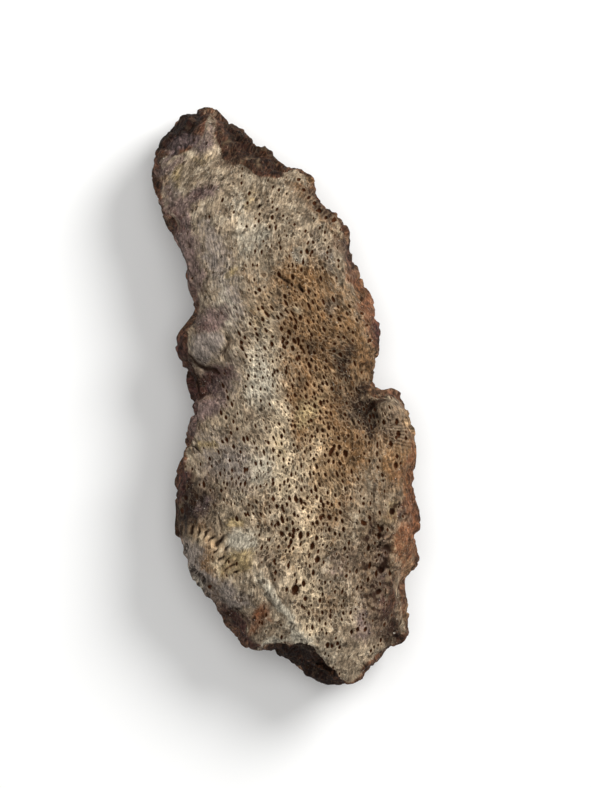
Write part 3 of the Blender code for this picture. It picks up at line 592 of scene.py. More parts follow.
def turned(x, y, centre_x, centre_y, degrees):
    """Distances from a centre along and across a direction."""
    turn = math.radians(degrees)
    along = (x - centre_x) * math.cos(turn) + (y - centre_y) * math.sin(turn)
    across = (y - centre_y) * math.cos(turn) - (x - centre_x) * math.sin(turn)
    return along, across


def mound(x, y, form, power=2):
    """Height of an oval swelling, which is flatter on top with a higher power."""
    centre_x, centre_y, half_length, half_width, degrees, height = form
    along, across = turned(x, y, centre_x, centre_y, degrees)
    return height * np.exp(-((along / half_length) ** 2 + (across / half_width) ** 2) ** (power / 2))


def zone(x, y, zones):
    """Soft mask from 0 to 1 of a list of oval zones."""
    clear = np.ones_like(x)
    for form in zones:
        clear *= 1.0 - np.clip(mound(x, y, form), 0.0, 1.0)
    return 1.0 - clear


def path_distance(x, y, path):
    """Distance to a line of points, and how far along it the nearest place lies, from 0 to 1."""
    nearest = np.full_like(x, 99.0)
    way = np.zeros_like(x)
    parts = len(path) - 1
    for part, ((x0, y0), (x1, y1)) in enumerate(zip(path[:-1], path[1:])):
        length = math.hypot(x1 - x0, y1 - y0)
        share = np.clip(((x - x0) * (x1 - x0) + (y - y0) * (y1 - y0)) / length ** 2, 0.0, 1.0)
        gap = np.hypot(x - x0 - share * (x1 - x0), y - y0 - share * (y1 - y0))
        way = np.where(gap < nearest, (part + share) / parts, way)
        nearest = np.minimum(nearest, gap)
    return nearest, way


def inside(x, y, corners):
    """True for the points inside a closed outline."""
    crossings = np.zeros(len(x), dtype=bool)
    for (x0, y0), (x1, y1) in zip(corners, corners[1:] + corners[:1]):
        if y0 == y1:
            continue
        spans = (y0 > y) != (y1 > y)
        crossings ^= spans & (x < x0 + (y - y0) * (x1 - x0) / (y1 - y0))
    return crossings


def drifted(spots, drifts, salt):
    """Places moved about by noise, which makes an outline drawn on them ragged."""
    moved = spots.copy()
    for order, (size, reach) in enumerate(drifts):
        for axis in range(2):
            moved[:, axis] += reach * value_noise(spots, size, salt + 2 * order + axis)
    return moved


# The stone's mesh


def applied(piece, kind, **settings):
    """Add a modifier to a piece and make its result the piece's own mesh."""
    modifier = piece.modifiers.new(kind.lower(), kind)
    for name, value in settings.items():
        setattr(modifier, name, value)
    shaped = piece.evaluated_get(bpy.context.evaluated_depsgraph_get())
    mesh = bpy.data.meshes.new_from_object(shaped)
    piece.modifiers.clear()
    piece.data = mesh


def places_of(mesh):
    places = np.empty(len(mesh.vertices) * 3, dtype=np.float32)
    mesh.vertices.foreach_get("co", places)
    return places.reshape(-1, 3).astype(np.float64)


def normals_of(mesh):
    normals = np.empty(len(mesh.vertices) * 3, dtype=np.float32)
    mesh.vertices.foreach_get("normal", normals)
    return normals.reshape(-1, 3).astype(np.float64)


def put_places(mesh, places):
    mesh.vertices.foreach_set("co", places.astype(np.float32).ravel())
    mesh.update()


def put_values(mesh, name, values):
    attribute = mesh.attributes.new(name, "FLOAT", "POINT")
    attribute.data.foreach_set("value", values.astype(np.float32))


def values_of(mesh, name):
    values = np.empty(len(mesh.vertices), dtype=np.float32)
    mesh.attributes[name].data.foreach_get("value", values)
    return values.astype(np.float64)


def melted(mesh, rounds, strength):
    """Places after each point has moved towards its neighbours' mean a number of times."""
    edges = np.empty(len(mesh.edges) * 2, dtype=np.int32)
    mesh.edges.foreach_get("vertices", edges)
    start, end = edges.reshape(-1, 2).T
    places = places_of(mesh)
    count = len(places)
    neighbours = np.bincount(start, minlength=count) + np.bincount(end, minlength=count)
    for _ in range(rounds):
        sums = np.empty_like(places)
        for axis in range(3):
            sums[:, axis] = (np.bincount(start, places[end, axis], count)
                             + np.bincount(end, places[start, axis], count))
        places = places + strength[:, None] * (sums / neighbours[:, None] - places)
    return places


def kept_inside(places):
    """Places moved to lie within the frame's box, a hair inside its sides and top."""
    low, high = (np.array(corner) / MM for corner in CAD_BOX)
    return np.clip(places, low + BOX_MARGIN * np.array([1.0, 1.0, 0.0]), high - BOX_MARGIN)


def smooth_stone():
    """The frame's solid in millimetres, on a fine even mesh, with its facets melted away."""
    stone = bpy.data.objects.new("coral_stone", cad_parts[NODE].data.copy())
    bpy.context.scene.collection.objects.link(stone)
    stone.data.materials.clear()
    stone.data.transform(Matrix.Scale(1.0 / MM, 4))
    applied(stone, "REMESH", mode="VOXEL", voxel_size=COARSE_VOXEL)
    upness = smoothstep(0.2, 0.6, normals_of(stone.data)[:, 2])
    put_places(stone.data, melted(stone.data, FACE_MELT_ROUNDS, FACE_MELT_SHARE * upness))
    put_places(stone.data, melted(stone.data, MELT_ROUNDS, np.full(len(upness), MELT_SHARE)))
    applied(stone, "SUBSURF", levels=2, render_levels=2)
    return stone


def flowing(spots):
    """Coordinates across and along the tubes, which lean more or less with the height on the face."""
    heights = np.linspace(LEANS[0][0], LEANS[-1][0], 400)
    leans = np.interp(heights, *zip(*LEANS))
    drift = np.concatenate([[0.0], np.cumsum(0.5 * (leans[1:] + leans[:-1]) * np.diff(heights))])
    moved = drifted(spots, ((4.0, TUBE_DRIFT),), 304)
    across = moved[:, 0] - np.interp(spots[:, 1], heights, drift)
    return np.stack([across, moved[:, 1] + ROW_SLOPE * spots[:, 0]], axis=1)


def tubes_around(flow):
    """The nine tubes nearest to each point: which they are, and how far across and along the
    point lies from their middles."""
    row = np.floor(flow[:, 1] / TUBE_LENGTH)
    for row_step in (-1, 0, 1):
        tube_row = row + row_step
        brick = 0.5 * (tube_row % 2)
        tube = np.floor(flow[:, 0] / TUBE_WIDTH - brick)
        for step in (-1, 0, 1):
            owner = np.stack([tube + step, tube_row], axis=1)
            shift_x = TUBE_SCATTER * (lattice_random(owner, 401) - 0.5)
            shift_y = TUBE_SCATTER * (lattice_random(owner, 402) - 0.5)
            across = flow[:, 0] - (tube + step + brick + 0.5 + shift_x) * TUBE_WIDTH
            yield owner, across, flow[:, 1] - (tube_row + 0.5 + shift_y) * TUBE_LENGTH


def tube_number(owner):
    return owner[:, 0] * 1000.0 + owner[:, 1]


def mouth_reach(away_x, away_y, turn, length):
    """Distance from a mouth's middle, which counts less along its length."""
    along = np.abs(away_x * np.cos(turn) + away_y * np.sin(turn)) / length
    across = np.abs(away_y * np.cos(turn) - away_x * np.sin(turn))
    return (along ** MOUTH_POWER + across ** MOUTH_POWER) ** (1.0 / MOUTH_POWER)


def opened(gap, depth, reach, radius, depths):
    """The gap and the depth with one more mouth, where it is the nearest."""
    least, more = depths
    return np.minimum(gap, reach), np.where(reach < gap, least + more * radius, depth)


def coral_tubes(spots):
    """How the coral's tubes meet the face: the distance to the nearest open mouth in mouth
    radii, that mouth's depth, and how far the point is from the wall between two tubes."""
    x, y = spots.T
    porous = np.clip(LEAST_POROUS + zone(x, y, POROUS_ZONES) - zone(x, y, BARE_ZONES), 0.02, 0.92)
    wide = zone(x, y, WIDE_ZONES)
    lean = np.interp(y, *zip(*LEANS)) + 0.3 * value_noise(spots, 3.0, 303)
    turn = np.arctan2(1.0, lean)
    crowded = np.concatenate([
        tube_number(owner[np.hypot(across, along) < CROWDED])
        for owner, across, along in tubes_around(flowing(np.array(LONE_MOUTHS)[:, :2]))])
    least_length, more_length = MOUTH_LENGTH
    gap = np.full_like(x, FAR)
    depth = np.zeros_like(x)
    nearest = np.full_like(x, FAR)
    second = np.full_like(x, FAR)
    for owner, away_x, away_y in tubes_around(flowing(spots)):
        chance, bulk, stretch = (lattice_random(owner, salt) for salt in (403, 404, 405))
        near = np.hypot(away_x / TUBE_WIDTH, away_y / TUBE_LENGTH)
        second = np.where(near < nearest, nearest, np.minimum(second, near))
        nearest = np.minimum(nearest, near)
        away_x = away_x + lean * away_y
        radius = MOUTH_LEAST + MOUTH_MORE * bulk + MOUTH_WIDE * wide * bulk ** 2
        reach = mouth_reach(away_x, away_y, turn, least_length + more_length * stretch) / radius
        open_here = (chance < porous) & ~np.isin(tube_number(owner), crowded)
        reach = np.where(open_here, reach, FAR)
        gap, depth = opened(gap, depth, reach, radius, MOUTH_DEPTH)
    for centre_x, centre_y, radius in LONE_MOUTHS:
        reach = mouth_reach(x - centre_x, y - centre_y, turn, LONE_MOUTH_LENGTH) / (1.05 * radius)
        gap, depth = opened(gap, depth, reach, radius, LONE_MOUTH_DEPTH)
    ragged = 1.0 + 0.35 * value_noise(spots, 0.30, 306)
    for centre_x, centre_y, radius in PITS:
        reach = np.hypot(x - centre_x, y - centre_y) * ragged / radius
        gap, depth = opened(gap, depth, reach, radius, PIT_DEPTH)
    return np.minimum(gap, MOST_GAP), depth, second - nearest, porous


def creases(x, y):
    """Depth and painted shade of the cracks, creases and slits, and the thin plates beside the slits,
    painted pale, partly as highlights.
    """
    depth = np.zeros_like(x)
    dark = np.zeros_like(x)
    pale_and_highlight = np.zeros_like(x)
    uneven = 1.0 + 0.45 * value_noise(np.stack([x, y], axis=1), 0.9, 33)
    for half_width, deepest, darkness, line in CREASES.values():
        gap, way = path_distance(x, y, line)
        taper = 1.0 - 0.75 * np.abs(2.0 * way - 1.0) ** 2.5
        shape = taper * np.exp(-(gap / (half_width * taper * uneven)) ** 2)
        depth = np.maximum(depth, deepest * shape)
        dark = np.maximum(dark, darkness * shape)
    for centre_x, centre_y, half_length, half_width, degrees, deepest in SLITS:
        along, across = turned(x, y, centre_x, centre_y, degrees)
        shape = np.exp(-(along / half_length) ** 4 - (across / half_width) ** 2)
        depth = np.maximum(depth, deepest * shape)
        dark = np.maximum(dark, shape)
        away = (np.abs(across) / half_width - PLATE_AWAY) / PLATE_WIDTH
        beside = np.exp(-(along / half_length) ** 4 - away ** 2)
        depth -= PLATE_HEIGHT * deepest * beside
        pale_and_highlight = np.maximum(pale_and_highlight, beside)
    return depth, dark, pale_and_highlight


def ribs(spots):
    """Rows of fine ribs, from -1 in the grooves to 1 on the ribs."""
    x, y = drifted(spots, RIB_DRIFT, 46).T
    total = np.zeros_like(x)
    for centre_x, centre_y, half_length, half_width, degrees, spacing, strength in RIBS:
        along, across = turned(x, y, centre_x, centre_y, degrees)
        share = strength * np.exp(-(along / half_length) ** 4 - (across / half_width) ** 4)
        total += share * np.cos(2.0 * math.pi * along / spacing)
    return total


def broken_away(x, y, z, normals):
    """The face with its breaks cut down: the new height, how broken it is, and how dark its painted shade
    is.
    """
    spots = np.stack([x, y], axis=1)
    rough_lip = LIP_ROUGHNESS * layered_noise(spots, 1.6, 3, 11)
    top = z.copy()
    broken = np.zeros_like(x)
    dark = np.zeros_like(x)
    for cut in BREAKS.values():
        outside = inside(x, y, cut["lip"] + cut["outside"])
        away, _ = path_distance(x, y, cut["lip"])
        gap = np.where(outside, away, -away) + rough_lip
        gap = np.where(normals[:, 2] > 0.0, gap, -FAR)
        level = LIP_HEIGHT - np.minimum(cut["fall"] * gap, cut["reach"])
        top = np.where((gap > 0.0) & (top > level), level, top)
        broken = np.maximum(broken, smoothstep(-cut["soft"], 0.7 * cut["soft"], gap))
        # Painted shade of the break: darker at the lip and farther out
        at_lip, far = cut["dark"]
        farther = (far - at_lip) * smoothstep(0.3, 1.8, gap)
        dark = np.maximum(dark, at_lip * smoothstep(-0.1, 0.2, gap) + farther)
    return top, broken, dark


def side_relief(places):
    """Height of the rough sides and back, and how deep each point lies in their pits."""
    rough = SIDE_NOISE_HEIGHT * layered_noise(places, SIDE_NOISE_SIZE, 4, 60)
    for order, (size, tilt) in enumerate(CHIP_SIZES):
        rough += chips(places, size, tilt, 50 + order)
    upright = places * np.array([1.0, 1.0, FLUTE_SIZE / FLUTE_LENGTH])
    fluted = smoothstep(-0.2, 0.5, value_noise(places, 7.0, 66))
    rough += FLUTE_HEIGHT * fluted * value_noise(upright, FLUTE_SIZE, 67)
    reach, owner = nearest_cells(places, SIDE_PIT_SPACING, 0.8, 70)
    least, more = SIDE_PIT_RADIUS
    radius = least + more * lattice_random(owner, 72) ** 2
    pit = (lattice_random(owner, 71) < SIDE_PIT_CHANCE) * (1.0 - smoothstep(0.7, 1.2, reach / radius))
    return np.clip(rough, -SIDE_MOST, SIDE_MOST) - SIDE_PIT_DEPTH * pit, pit


def face_relief(spots):
    """Relief of the pored face: its height, the gap to the nearest mouth, how porous it is, how
    dark the painted shade of its creases, knob gaps and rib grooves is, and how pale its plates,
    knobs and ribs are, partly as painted highlights."""
    x, y = spots.T
    gap, depth, wall, porous = coral_tubes(spots)
    crease_depth, crease_shade, pale_and_highlight = creases(*drifted(spots, CREASE_DRIFT, 31).T)
    lift = sum(mound(x, y, form) for form in MOUNDS.values())
    lift += sum(mound(x, y, form, PLATEAU_POWER) for form in PLATEAUS.values())
    for knob_x, knob_y, radius, height in KNOBS:
        lift += height * np.exp(-(np.hypot(x - knob_x, y - knob_y) / radius) ** 4)
    for order, (size, height) in enumerate(FACE_NOISE):
        lift += height * value_noise(spots, size, 20 + order)
    lift -= WALL_DIP * porous * smoothstep(0.05, 0.45, wall)
    knobby = smoothstep(0.10, 0.80, zone(x, y, KNOBBY_ZONES))
    reach, owner = nearest_cells(drifted(spots, KNOB_DRIFT, 36), KNOB_SPACING, 0.95, 37)
    reach = reach + 0.24 * layered_noise(spots, 0.5, 3, 38)
    lift += KNOB_HEIGHT * knobby * (0.45 - reach)
    # Painted shade in the gaps between the knobs
    crease_shade = np.maximum(crease_shade, 0.9 * knobby * smoothstep(0.42, 0.74, reach))
    # Painted highlights on a share of the knobs
    pale_knob = (lattice_random(owner, 39) < PALE_KNOBS) * (1.0 - smoothstep(0.10, 0.36, reach))
    pale_and_highlight = np.maximum(pale_and_highlight, 0.7 * knobby * pale_knob)
    ribbed = ribs(spots)
    lift += RIB_HEIGHT * ribbed
    # Painted shade in the rib grooves and painted highlights on the rib crests
    crease_shade = np.maximum(crease_shade, 0.8 * smoothstep(0.20, 0.90, -ribbed))
    pale_and_highlight = np.maximum(pale_and_highlight, 0.7 * smoothstep(0.30, 0.90, ribbed))
    lift -= depth * (1.0 - smoothstep(0.55, 1.15, gap)) + crease_depth
    return lift, gap, porous, crease_shade, pale_and_highlight


def worn_and_highlit_edges(places):
    """How pale the edges on the broken surfaces are, partly worn rims and partly painted highlights."""
    x, y = drifted(places[:, :2], PALE_EDGE_DRIFT, 95).T
    worn = np.zeros_like(x)
    for half_width, strength, line in PALE_EDGES.values():
        away, _ = path_distance(x, y, line)
        worn = np.maximum(worn, strength * np.exp(-(away / half_width) ** 2))
    return worn * smoothstep(-0.5, 0.3, value_noise(places, 0.30, 96))


def mark_stains_and_shade(mesh, places, up, broken, break_shade):
    """Store how strongly each stain and each patch of painted shade lies on each point."""
    x, y = drifted(places[:, :2], TINT_DRIFT, 90).T
    stained_and_shaded = smoothstep(*STAIN_AND_SHADE_REACH, up)
    for name, zones in TINTS.items():
        shares = zone(x, y, zones) * stained_and_shaded
        # The painted shade of the breaks joins the dark tint
        if name == "dark":
            shares = np.maximum(shares, break_shade)
        elif name not in STAINS_OF_BREAKS:
            shares = shares * (1.0 - STAINS_LOST_ON_BREAKS * broken)
        put_values(mesh, "tint_" + name, shares)


def carve(stone):
    """Give the smooth stone its breaks, relief, mouths and rough sides, and mark what is where."""
    mesh = stone.data
    places = places_of(mesh)
    normals = normals_of(mesh)
    up = normals[:, 2]
    wander = sum(reach * value_noise(places, size, 12 + order)
                 for order, (size, reach) in enumerate(RIM_WANDER))
    face = smoothstep(*FACE_STARTS, up + wander)
    x, y, z = places.T
    top, broken, break_shade = broken_away(x, y, z, normals)
    places[:, 2] = top

    seen = np.flatnonzero(face > 0.01)
    whole = (face * (1.0 - broken))[seen]
    lift, gap, porous, crease_shade, pale_and_highlight = face_relief(places[seen, :2])
    height = places[:, 2].copy()
    height[seen] += whole * lift
    height += broken * sum(mound(x, y, form) for form in BREAK_MOUNDS.values())

    side = np.maximum(1.0 - face, broken)
    rough_places = np.flatnonzero(side > 0.01)
    rough = np.zeros_like(x)
    pit = np.zeros_like(x)
    rough[rough_places], pit[rough_places] = side_relief(places[rough_places])
    moved = np.stack([x, y, height], axis=1) + normals * (rough * side)[:, None]
    resting = z < RESTING_BELOW
    moved[resting] = places[resting]
    hollows = np.clip(layered_noise(places[resting], 1.1, 3, 80) - 0.35, 0.0, 1.0)
    moved[resting, 2] = RESTING_HOLLOWS * hollows
    put_places(mesh, kept_inside(moved))

    def spread(values, elsewhere):
        full = np.full(len(x), elsewhere, dtype=float)
        full[seen] = values
        return full

    near = (MOST_GAP - gap) * np.clip(whole * 2.0, 0.0, 1.0)
    put_values(mesh, "gap", spread(MOST_GAP - near, MOST_GAP))
    put_values(mesh, "net", spread(whole * (0.12 + 0.88 * porous), 0.0))
    # Painted shade in the creases, between the knobs, in the rib grooves and in the pits of the sides
    put_values(mesh, "crease", np.maximum(spread(whole * crease_shade, 0.0), 0.75 * side * pit))
    # Painted highlights and worn rims along the edges of the breaks
    worn = worn_and_highlit_edges(places) * smoothstep(0.0, 0.3, up)
    # Pale plates, and painted highlights on knobs, rib crests and the edges of the breaks
    put_values(mesh, "pale_and_highlight", np.maximum(spread(whole * pale_and_highlight, 0.0), worn))
    put_values(mesh, "side", np.clip(side, 0.0, 1.0))
    put_values(mesh, "up", up)
    across, along = flowing(places[:, :2]).T
    put_values(mesh, "flow_x", across)
    put_values(mesh, "flow_y", along)
    mark_stains_and_shade(mesh, places, up, broken, break_shade)


def bake_map(mesh):
    """A flat map of the stone: the face, the back, and the sides in strips around it."""
    corners = np.empty(len(mesh.loops), dtype=np.int32)
    mesh.loops.foreach_get("vertex_index", corners)
    corners = corners.reshape(-1, 3)
    places = places_of(mesh)
    up = values_of(mesh, "up")[corners].mean(axis=1)
    low, high = places.min(axis=0), places.max(axis=0)
    x, y, z = (places - low)[corners].transpose(2, 0, 1)
    wide, long, tall = high - low

    flat = np.empty(corners.shape + (2,))
    flat[..., 0] = MAP_FACE["corner"][0] + MAP_FACE["scale"] * x
    flat[..., 1] = MAP_FACE["corner"][1] + MAP_FACE["scale"] * y
    back = up < MAP_BACK_SLOPE
    flat[back, :, 0] = MAP_BACK["corner"][0] + MAP_BACK["scale"] * y[back]
    flat[back, :, 1] = MAP_BACK["corner"][1] + MAP_BACK["scale"] * x[back]

    angles = np.linspace(-math.pi, math.pi, MAP_ANGLES)
    steps = np.hypot(0.5 * wide * np.sin(angles), 0.5 * long * np.cos(angles))
    round_way = np.concatenate([[0.0], np.cumsum(0.5 * (steps[1:] + steps[:-1]))])
    round_way /= round_way[-1]
    angle = np.arctan2(2.0 * y / long - 1.0, 2.0 * x / wide - 1.0)
    middle = np.arctan2(np.sin(angle).mean(axis=1), np.cos(angle).mean(axis=1))
    angle = middle[:, None] + (angle - middle[:, None] + math.pi) % (2.0 * math.pi) - math.pi
    at_middle = np.interp(middle, angles, round_way)
    around = np.interp(np.clip(angle, -math.pi, math.pi), angles, round_way)
    strip = np.minimum(np.floor(at_middle * MAP_SIDES["strips"]), MAP_SIDES["strips"] - 1)
    side = ~back & (up < MAP_SIDE_SLOPE)
    along = (around * MAP_SIDES["strips"] - strip[:, None]) * MAP_SIDES["width"]
    flat[side, :, 0] = MAP_SIDES["corner"][0] + along[side]
    flat[side, :, 1] = (MAP_SIDES["corner"][1] + MAP_SIDES["step"] * strip[:, None]
                        + MAP_SIDES["height"] * z / tall)[side]
    layer = mesh.uv_layers.new(name="OFBake")
    layer.uv.foreach_set("vector", flat.astype(np.float32).ravel())


stone = smooth_stone()
carve(stone)
applied(stone, "TRIANGULATE")
applied(stone, "DECIMATE", ratio=TRIANGLES / len(stone.data.polygons))
put_places(stone.data, kept_inside(places_of(stone.data)))
bake_map(stone.data)
stone.data.transform(Matrix.Scale(MM, 4))
stone.data.shade_smooth()


def plain_material(name, colour, roughness):
    material = bpy.data.materials.new(name)
    material.use_nodes = True
    shader = material.node_tree.nodes["Principled BSDF"]
    shader.inputs["Base Color"].default_value = (*colour, 1.0)
    shader.inputs["Roughness"].default_value = roughness
    return material


def paint(name):
    """A named colour, turned from screen values to light values."""
    shares = [value / 255.0 for value in PAINTS[name]]
    return tuple(((share + 0.055) / 1.055) ** 2.4 for share in shares) + (1.0,)


class Shading:
    """Short calls that add and link the nodes of one material."""

    def __init__(self, name):
        self.material = bpy.data.materials.new(name)
        self.material.use_nodes = True
        self.tree = self.material.node_tree
        self.shader = self.tree.nodes["Principled BSDF"]
        coordinates = self.tree.nodes.new("ShaderNodeTexCoord").outputs["Object"]
        place = self.vector("SCALE", coordinates, scale=1.0 / MM)
        apart = self.tree.nodes.new("ShaderNodeSeparateXYZ")
        self.put(place, apart.inputs[0])
        together = self.tree.nodes.new("ShaderNodeCombineXYZ")
        flow = (self.value("flow_x"), self.value("flow_y"), apart.outputs[2])
        for socket, value in zip(together.inputs, flow):
            self.put(value, socket)
        self.along_tubes = together.outputs[0]

    def put(self, value, socket):
        """Link another node's output to a socket, or set the socket to a plain value."""
        if isinstance(value, bpy.types.NodeSocket):
            self.tree.links.new(value, socket)
        else:
            socket.default_value = value

    def vector(self, operation, first, second=None, scale=None):
        node = self.tree.nodes.new("ShaderNodeVectorMath")
        node.operation = operation
        self.put(first, node.inputs[0])
        if second is not None:
            self.put(second, node.inputs[1])
        if scale is not None:
            self.put(scale, node.inputs["Scale"])
        return node.outputs[0]

    def math(self, operation, first, second=0.0, third=0.0):
        node = self.tree.nodes.new("ShaderNodeMath")
        node.operation = operation
        for socket, value in zip(node.inputs, (first, second, third)):
            self.put(value, socket)
        return node.outputs[0]

    def chained(self, operation, values):
        """The values joined one after the other by the same operation."""
        result = values[0]
        for value in values[1:]:
            result = self.math(operation, result, value)
        return result

    def total(self, *values):
        return self.chained("ADD", values)

    def product(self, *values):
        return self.chained("MULTIPLY", values)

    def value(self, attribute):
        node = self.tree.nodes.new("ShaderNodeAttribute")
        node.attribute_name = attribute
        return node.outputs["Fac"]

    def shifted(self, size, shift, stretch):
        """Places along the tubes in grains of a size, moved on for each pattern's own draw."""
        place = self.vector("MULTIPLY", self.along_tubes, tuple(1.0 / (size * share) for share in stretch))
        return self.vector("ADD", place, (shift, 0.37 * shift, 0.71 * shift))

    def noise_outputs(self, size, detail, shift, stretch, rough):
        node = self.tree.nodes.new("ShaderNodeTexNoise")
        self.put(self.shifted(size, shift, stretch), node.inputs["Vector"])
        node.inputs["Scale"].default_value = 1.0
        node.inputs["Detail"].default_value = detail
        node.inputs["Roughness"].default_value = rough
        return node.outputs

    def noise(self, size, detail, shift, stretch=EVENLY, rough=0.55):
        return self.noise_outputs(size, detail, shift, stretch, rough)["Fac"]

    def small_shifts(self, size, shift, reach):
        """Small random shifts in every direction."""
        outputs = self.noise_outputs(size, 1.0, shift, EVENLY, 0.5)
        middle = self.vector("SUBTRACT", outputs["Color"], (0.5, 0.5, 0.5))
        return self.vector("SCALE", middle, scale=reach)

    def cells(self, size, ragged, shift, stretch):
        """A net of small cells: the distance to the nearest wall, and two random numbers of each cell."""
        place = self.vector("ADD", self.shifted(size, shift, stretch), ragged)
        outputs = []
        for feature in ("DISTANCE_TO_EDGE", "F1"):
            node = self.tree.nodes.new("ShaderNodeTexVoronoi")
            node.feature = feature
            self.put(place, node.inputs["Vector"])
            node.inputs["Scale"].default_value = 1.0
            outputs.append(node.outputs)
        apart = self.tree.nodes.new("ShaderNodeSeparateColor")
        self.put(outputs[1]["Color"], apart.inputs[0])
        return outputs[0]["Distance"], apart.outputs[0], apart.outputs[1]

    def ramp(self, value, low, high, to_low=0.0, to_high=1.0):
        node = self.tree.nodes.new("ShaderNodeMapRange")
        node.interpolation_type = "SMOOTHSTEP"
        for name, setting in (("Value", value), ("From Min", low), ("From Max", high),
                              ("To Min", to_low), ("To Max", to_high)):
            self.put(setting, node.inputs[name])
        return node.outputs["Result"]

    def over(self, mask, to_low, to_high):
        """A value that goes from one number to another where a mask rises."""
        return self.ramp(mask, 0.2, 0.8, to_low, to_high)

    def mix(self, share, first, second, blend="MIX"):
        node = self.tree.nodes.new("ShaderNodeMix")
        node.data_type = "RGBA"
        node.blend_type = blend
        self.put(share, node.inputs[0])
        self.put(first, node.inputs[6])
        self.put(second, node.inputs[7])
        return node.outputs[2]

    def scaled(self, colour, factor):
        """A colour made lighter or darker by a factor."""
        grey = self.tree.nodes.new("ShaderNodeCombineColor")
        for socket in grey.inputs[:3]:
            self.put(factor, socket)
        return self.mix(1.0, colour, grey.outputs[0], "MULTIPLY")


def ground_colour(make):
    """Grey-tan coral on the face, red-brown and tan patches on the sides and back, painted darker partly as
    painted shade of the steep sides.
    """
    broad = make.noise(2.2, 4.0, 1.0)
    patch = make.noise(0.85, 4.0, 5.0, (1.0, 1.5, 1.0))
    face = make.mix(make.ramp(broad, 0.36, 0.64), paint("grey"), paint("grey dark"))
    face = make.mix(make.ramp(patch, 0.47, 0.70, 0.0, 0.7), face, paint("grey light"))
    first = make.noise(1.6, 5.0, 9.0, rough=0.66)
    other = make.noise(3.4, 4.0, 13.0, rough=0.6)
    side = make.mix(make.ramp(first, 0.34, 0.50), paint("side dark"), paint("side"))
    side = make.mix(make.ramp(first, 0.54, 0.72), side, paint("side light"))
    side = make.mix(make.ramp(other, 0.50, 0.66, 0.0, 0.75), side, paint("side red"))
    return make.mix(make.ramp(make.value("side"), 0.20, 0.75), face, side)


def stained_and_shaded(make, colour):
    """The colour with each stain and each patch of painted shade laid over it, with edges made ragged by
    noise.
    """
    for order, name in enumerate(TINTS):
        ragged = make.noise(0.55, 4.0, 20.0 + 3.0 * order, (1.0, 1.4, 1.0), 0.68)
        share = make.math("SUBTRACT", make.value("tint_" + name), make.product(ragged, 1.05))
        colour = make.mix(make.ramp(share, -0.42, 0.22), colour, paint(name))
    return colour


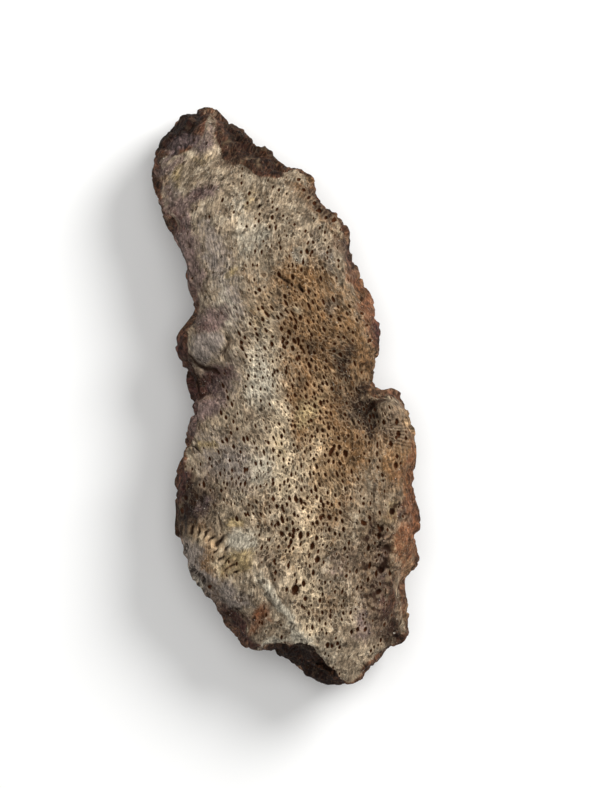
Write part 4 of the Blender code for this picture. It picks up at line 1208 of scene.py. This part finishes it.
def coral_material():
    """Weathered coral stone: ground with stains and painted shade, a weave of pale walls and
    hollows darkened as painted shade, painted glints on grains, and mouths dark with painted shade."""
    make = Shading("coral stone")
    net = make.value("net")
    side = make.value("side")
    colour = stained_and_shaded(make, ground_colour(make))
    strands = make.noise(0.30, 3.0, 17.0, (1.0, 4.5, 4.5), 0.7)
    strand = make.ramp(strands, 0.32, 0.68, make.over(side, 1.0, 0.40), make.over(side, 1.0, 1.85))
    colour = make.scaled(colour, strand)
    pale = make.mix(0.35, make.scaled(colour, 1.9), paint("rim"))
    # Darker copy of the colour: painted shade for the hollows of the weave, and random dark mottling
    dim = make.mix(0.5, make.scaled(colour, 0.42), paint("dim"))

    speckle = make.noise(0.34, 4.0, 40.0, (1.0, 1.4, 1.0), 0.78)
    fibre = make.noise(0.20, 2.0, 44.0, (1.0, 4.5, 2.0), 0.6)
    clump = make.noise(1.1, 3.0, 48.0, (1.0, 1.3, 1.0), 0.6)
    edge, open_chance, shade = make.cells(0.48, make.small_shifts(0.22, 52.0, 0.55), 60.0, (1.0, 1.45, 1.0))
    threaded = make.noise(0.6, 2.0, 53.0)
    thread = make.product(make.ramp(edge, 0.15, 0.03), make.ramp(net, 0.0, 0.8, 0.25, 1.0),
                          make.ramp(threaded, 0.38, 0.58, 0.25, 1.0))
    share_open = make.ramp(net, 0.0, 1.0, 0.16, 0.72)
    closed = make.math("SUBTRACT", open_chance, share_open)
    hollow = make.product(make.ramp(edge, 0.08, 0.26), make.ramp(closed, 0.04, -0.04))
    mottled = make.noise(0.9, 3.0, 57.0, (1.0, 1.3, 1.0), 0.65)
    mottle = make.ramp(mottled, 0.48, 0.66, 0.0, make.over(net, 0.15, 0.60))
    colour = make.mix(mottle, colour, dim)
    # Painted shade in the closed hollows of the weave
    colour = make.mix(make.product(hollow, 0.8), colour, dim)
    colour = make.mix(make.product(thread, 0.55), colour, pale)
    broad = make.noise(3.0, 2.0, 49.0)
    colour = make.scaled(colour, make.product(
        make.ramp(speckle, 0.34, 0.66, 0.58, 1.38),
        make.ramp(clump, 0.34, 0.66, make.over(net, 0.84, 0.70), make.over(net, 1.18, 1.40)),
        make.ramp(fibre, 0.34, 0.66, make.over(net, 0.62, 0.78), make.over(net, 1.42, 1.26)),
        make.ramp(shade, 0.0, 1.0, 0.84, 1.18),
        make.ramp(broad, 0.34, 0.66, 0.86, 1.12),
    ))

    ragged = make.product(make.math("SUBTRACT", speckle, 0.5), 1.6)
    gap = make.total(make.value("gap"), ragged)
    rim = make.product(make.ramp(gap, 0.95, 1.25), make.ramp(gap, 1.95, 1.35))
    colour = make.mix(make.product(rim, 0.35), colour, pale)
    # Painted glints: tiny highlights on the grains
    grains = make.noise(0.19, 1.0, 70.0)
    sparkle = make.product(make.ramp(grains, 0.70, 0.78), make.over(side, 0.55, 0.10))
    colour = make.mix(sparkle, colour, paint("glint"))
    # Pale plates, and painted highlights on knobs, rib crests and the edges of the breaks
    colour = make.mix(make.product(make.value("pale_and_highlight"), 0.55), colour, paint("pale_and_highlight"))
    # Painted shade in the mouths
    colour = make.mix(make.ramp(gap, 1.10, 0.70), colour, paint("mouth"))
    # Painted shade in the creases, between the knobs, in the rib grooves and in the pits of the sides
    crease = make.total(make.value("crease"), make.product(ragged, 0.5))
    colour = make.mix(make.ramp(crease, 0.20, 0.95, 0.0, 0.9), colour, paint("crease"))
    make.put(colour, make.shader.inputs["Base Color"])

    make.put(make.ramp(speckle, 0.3, 0.7, 0.70, 0.95), make.shader.inputs["Roughness"])
    make.shader.inputs["Specular IOR Level"].default_value = STONE_GLOSS
    height = make.total(
        make.product(speckle, make.over(side, 1.0, 2.2)),
        make.product(fibre, 0.6),
        make.product(thread, 0.3),
        make.product(hollow, -0.6),
    )
    bump = make.tree.nodes.new("ShaderNodeBump")
    bump.inputs["Strength"].default_value = 1.0
    bump.inputs["Distance"].default_value = BUMP_DISTANCE * MM
    make.put(height, bump.inputs["Height"])
    make.put(bump.outputs["Normal"], make.shader.inputs["Normal"])
    return make.material


stone.data.materials.append(coral_material())
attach(stone, "root")
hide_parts(NODE)


def floor():
    mesh = bpy.data.meshes.new("floor")
    half = FLOOR_HALF
    corners = [(-half, -half, 0), (half, -half, 0), (half, half, 0), (-half, half, 0)]
    mesh.from_pydata(corners, [], [(0, 1, 2, 3)])
    ground = bpy.data.objects.new("floor", mesh)
    bpy.context.scene.collection.objects.link(ground)
    mesh.materials.append(plain_material("pale floor", FLOOR_COLOUR, 0.7))


def area_light(name, place_mm, size_mm, watts):
    light = bpy.data.lights.new(name, "AREA")
    light.shape = "DISK"
    light.size = size_mm * MM
    light.energy = watts
    lamp = bpy.data.objects.new(name, light)
    lamp.location = Vector(place_mm) * MM
    lamp.rotation_euler = (-Vector(place_mm)).to_track_quat("-Z", "Y").to_euler()
    bpy.context.scene.collection.objects.link(lamp)


def camera():
    data = bpy.data.cameras.new("camera")
    data.sensor_width = SENSOR_MM
    data.lens = SENSOR_MM * CAMERA_HEIGHT_MM / (PHOTO_HEIGHT * PIXEL_MM)
    data.clip_start, data.clip_end = CAMERA_REACH
    eye = bpy.data.objects.new("camera", data)
    across = (PHOTO_WIDTH / 2 - STONE_PIXEL[0]) * PIXEL_MM
    up = (STONE_PIXEL[1] - PHOTO_HEIGHT / 2) * PIXEL_MM
    eye.location = Vector((across, up, PIXEL_PLANE_MM + CAMERA_HEIGHT_MM)) * MM
    bpy.context.scene.collection.objects.link(eye)
    bpy.context.scene.camera = eye


floor()
for name, (place_mm, size_mm, watts) in LIGHTS.items():
    area_light(name, place_mm, size_mm, watts)
camera()

world = bpy.data.worlds.new("studio")
world.use_nodes = True
sky = world.node_tree.nodes["Background"]
sky.inputs["Color"].default_value = (1.0, 1.0, 1.0, 1.0)
sky.inputs["Strength"].default_value = SKY_STRENGTH
bpy.context.scene.world = world
bpy.context.scene.view_settings.view_transform = "Standard"
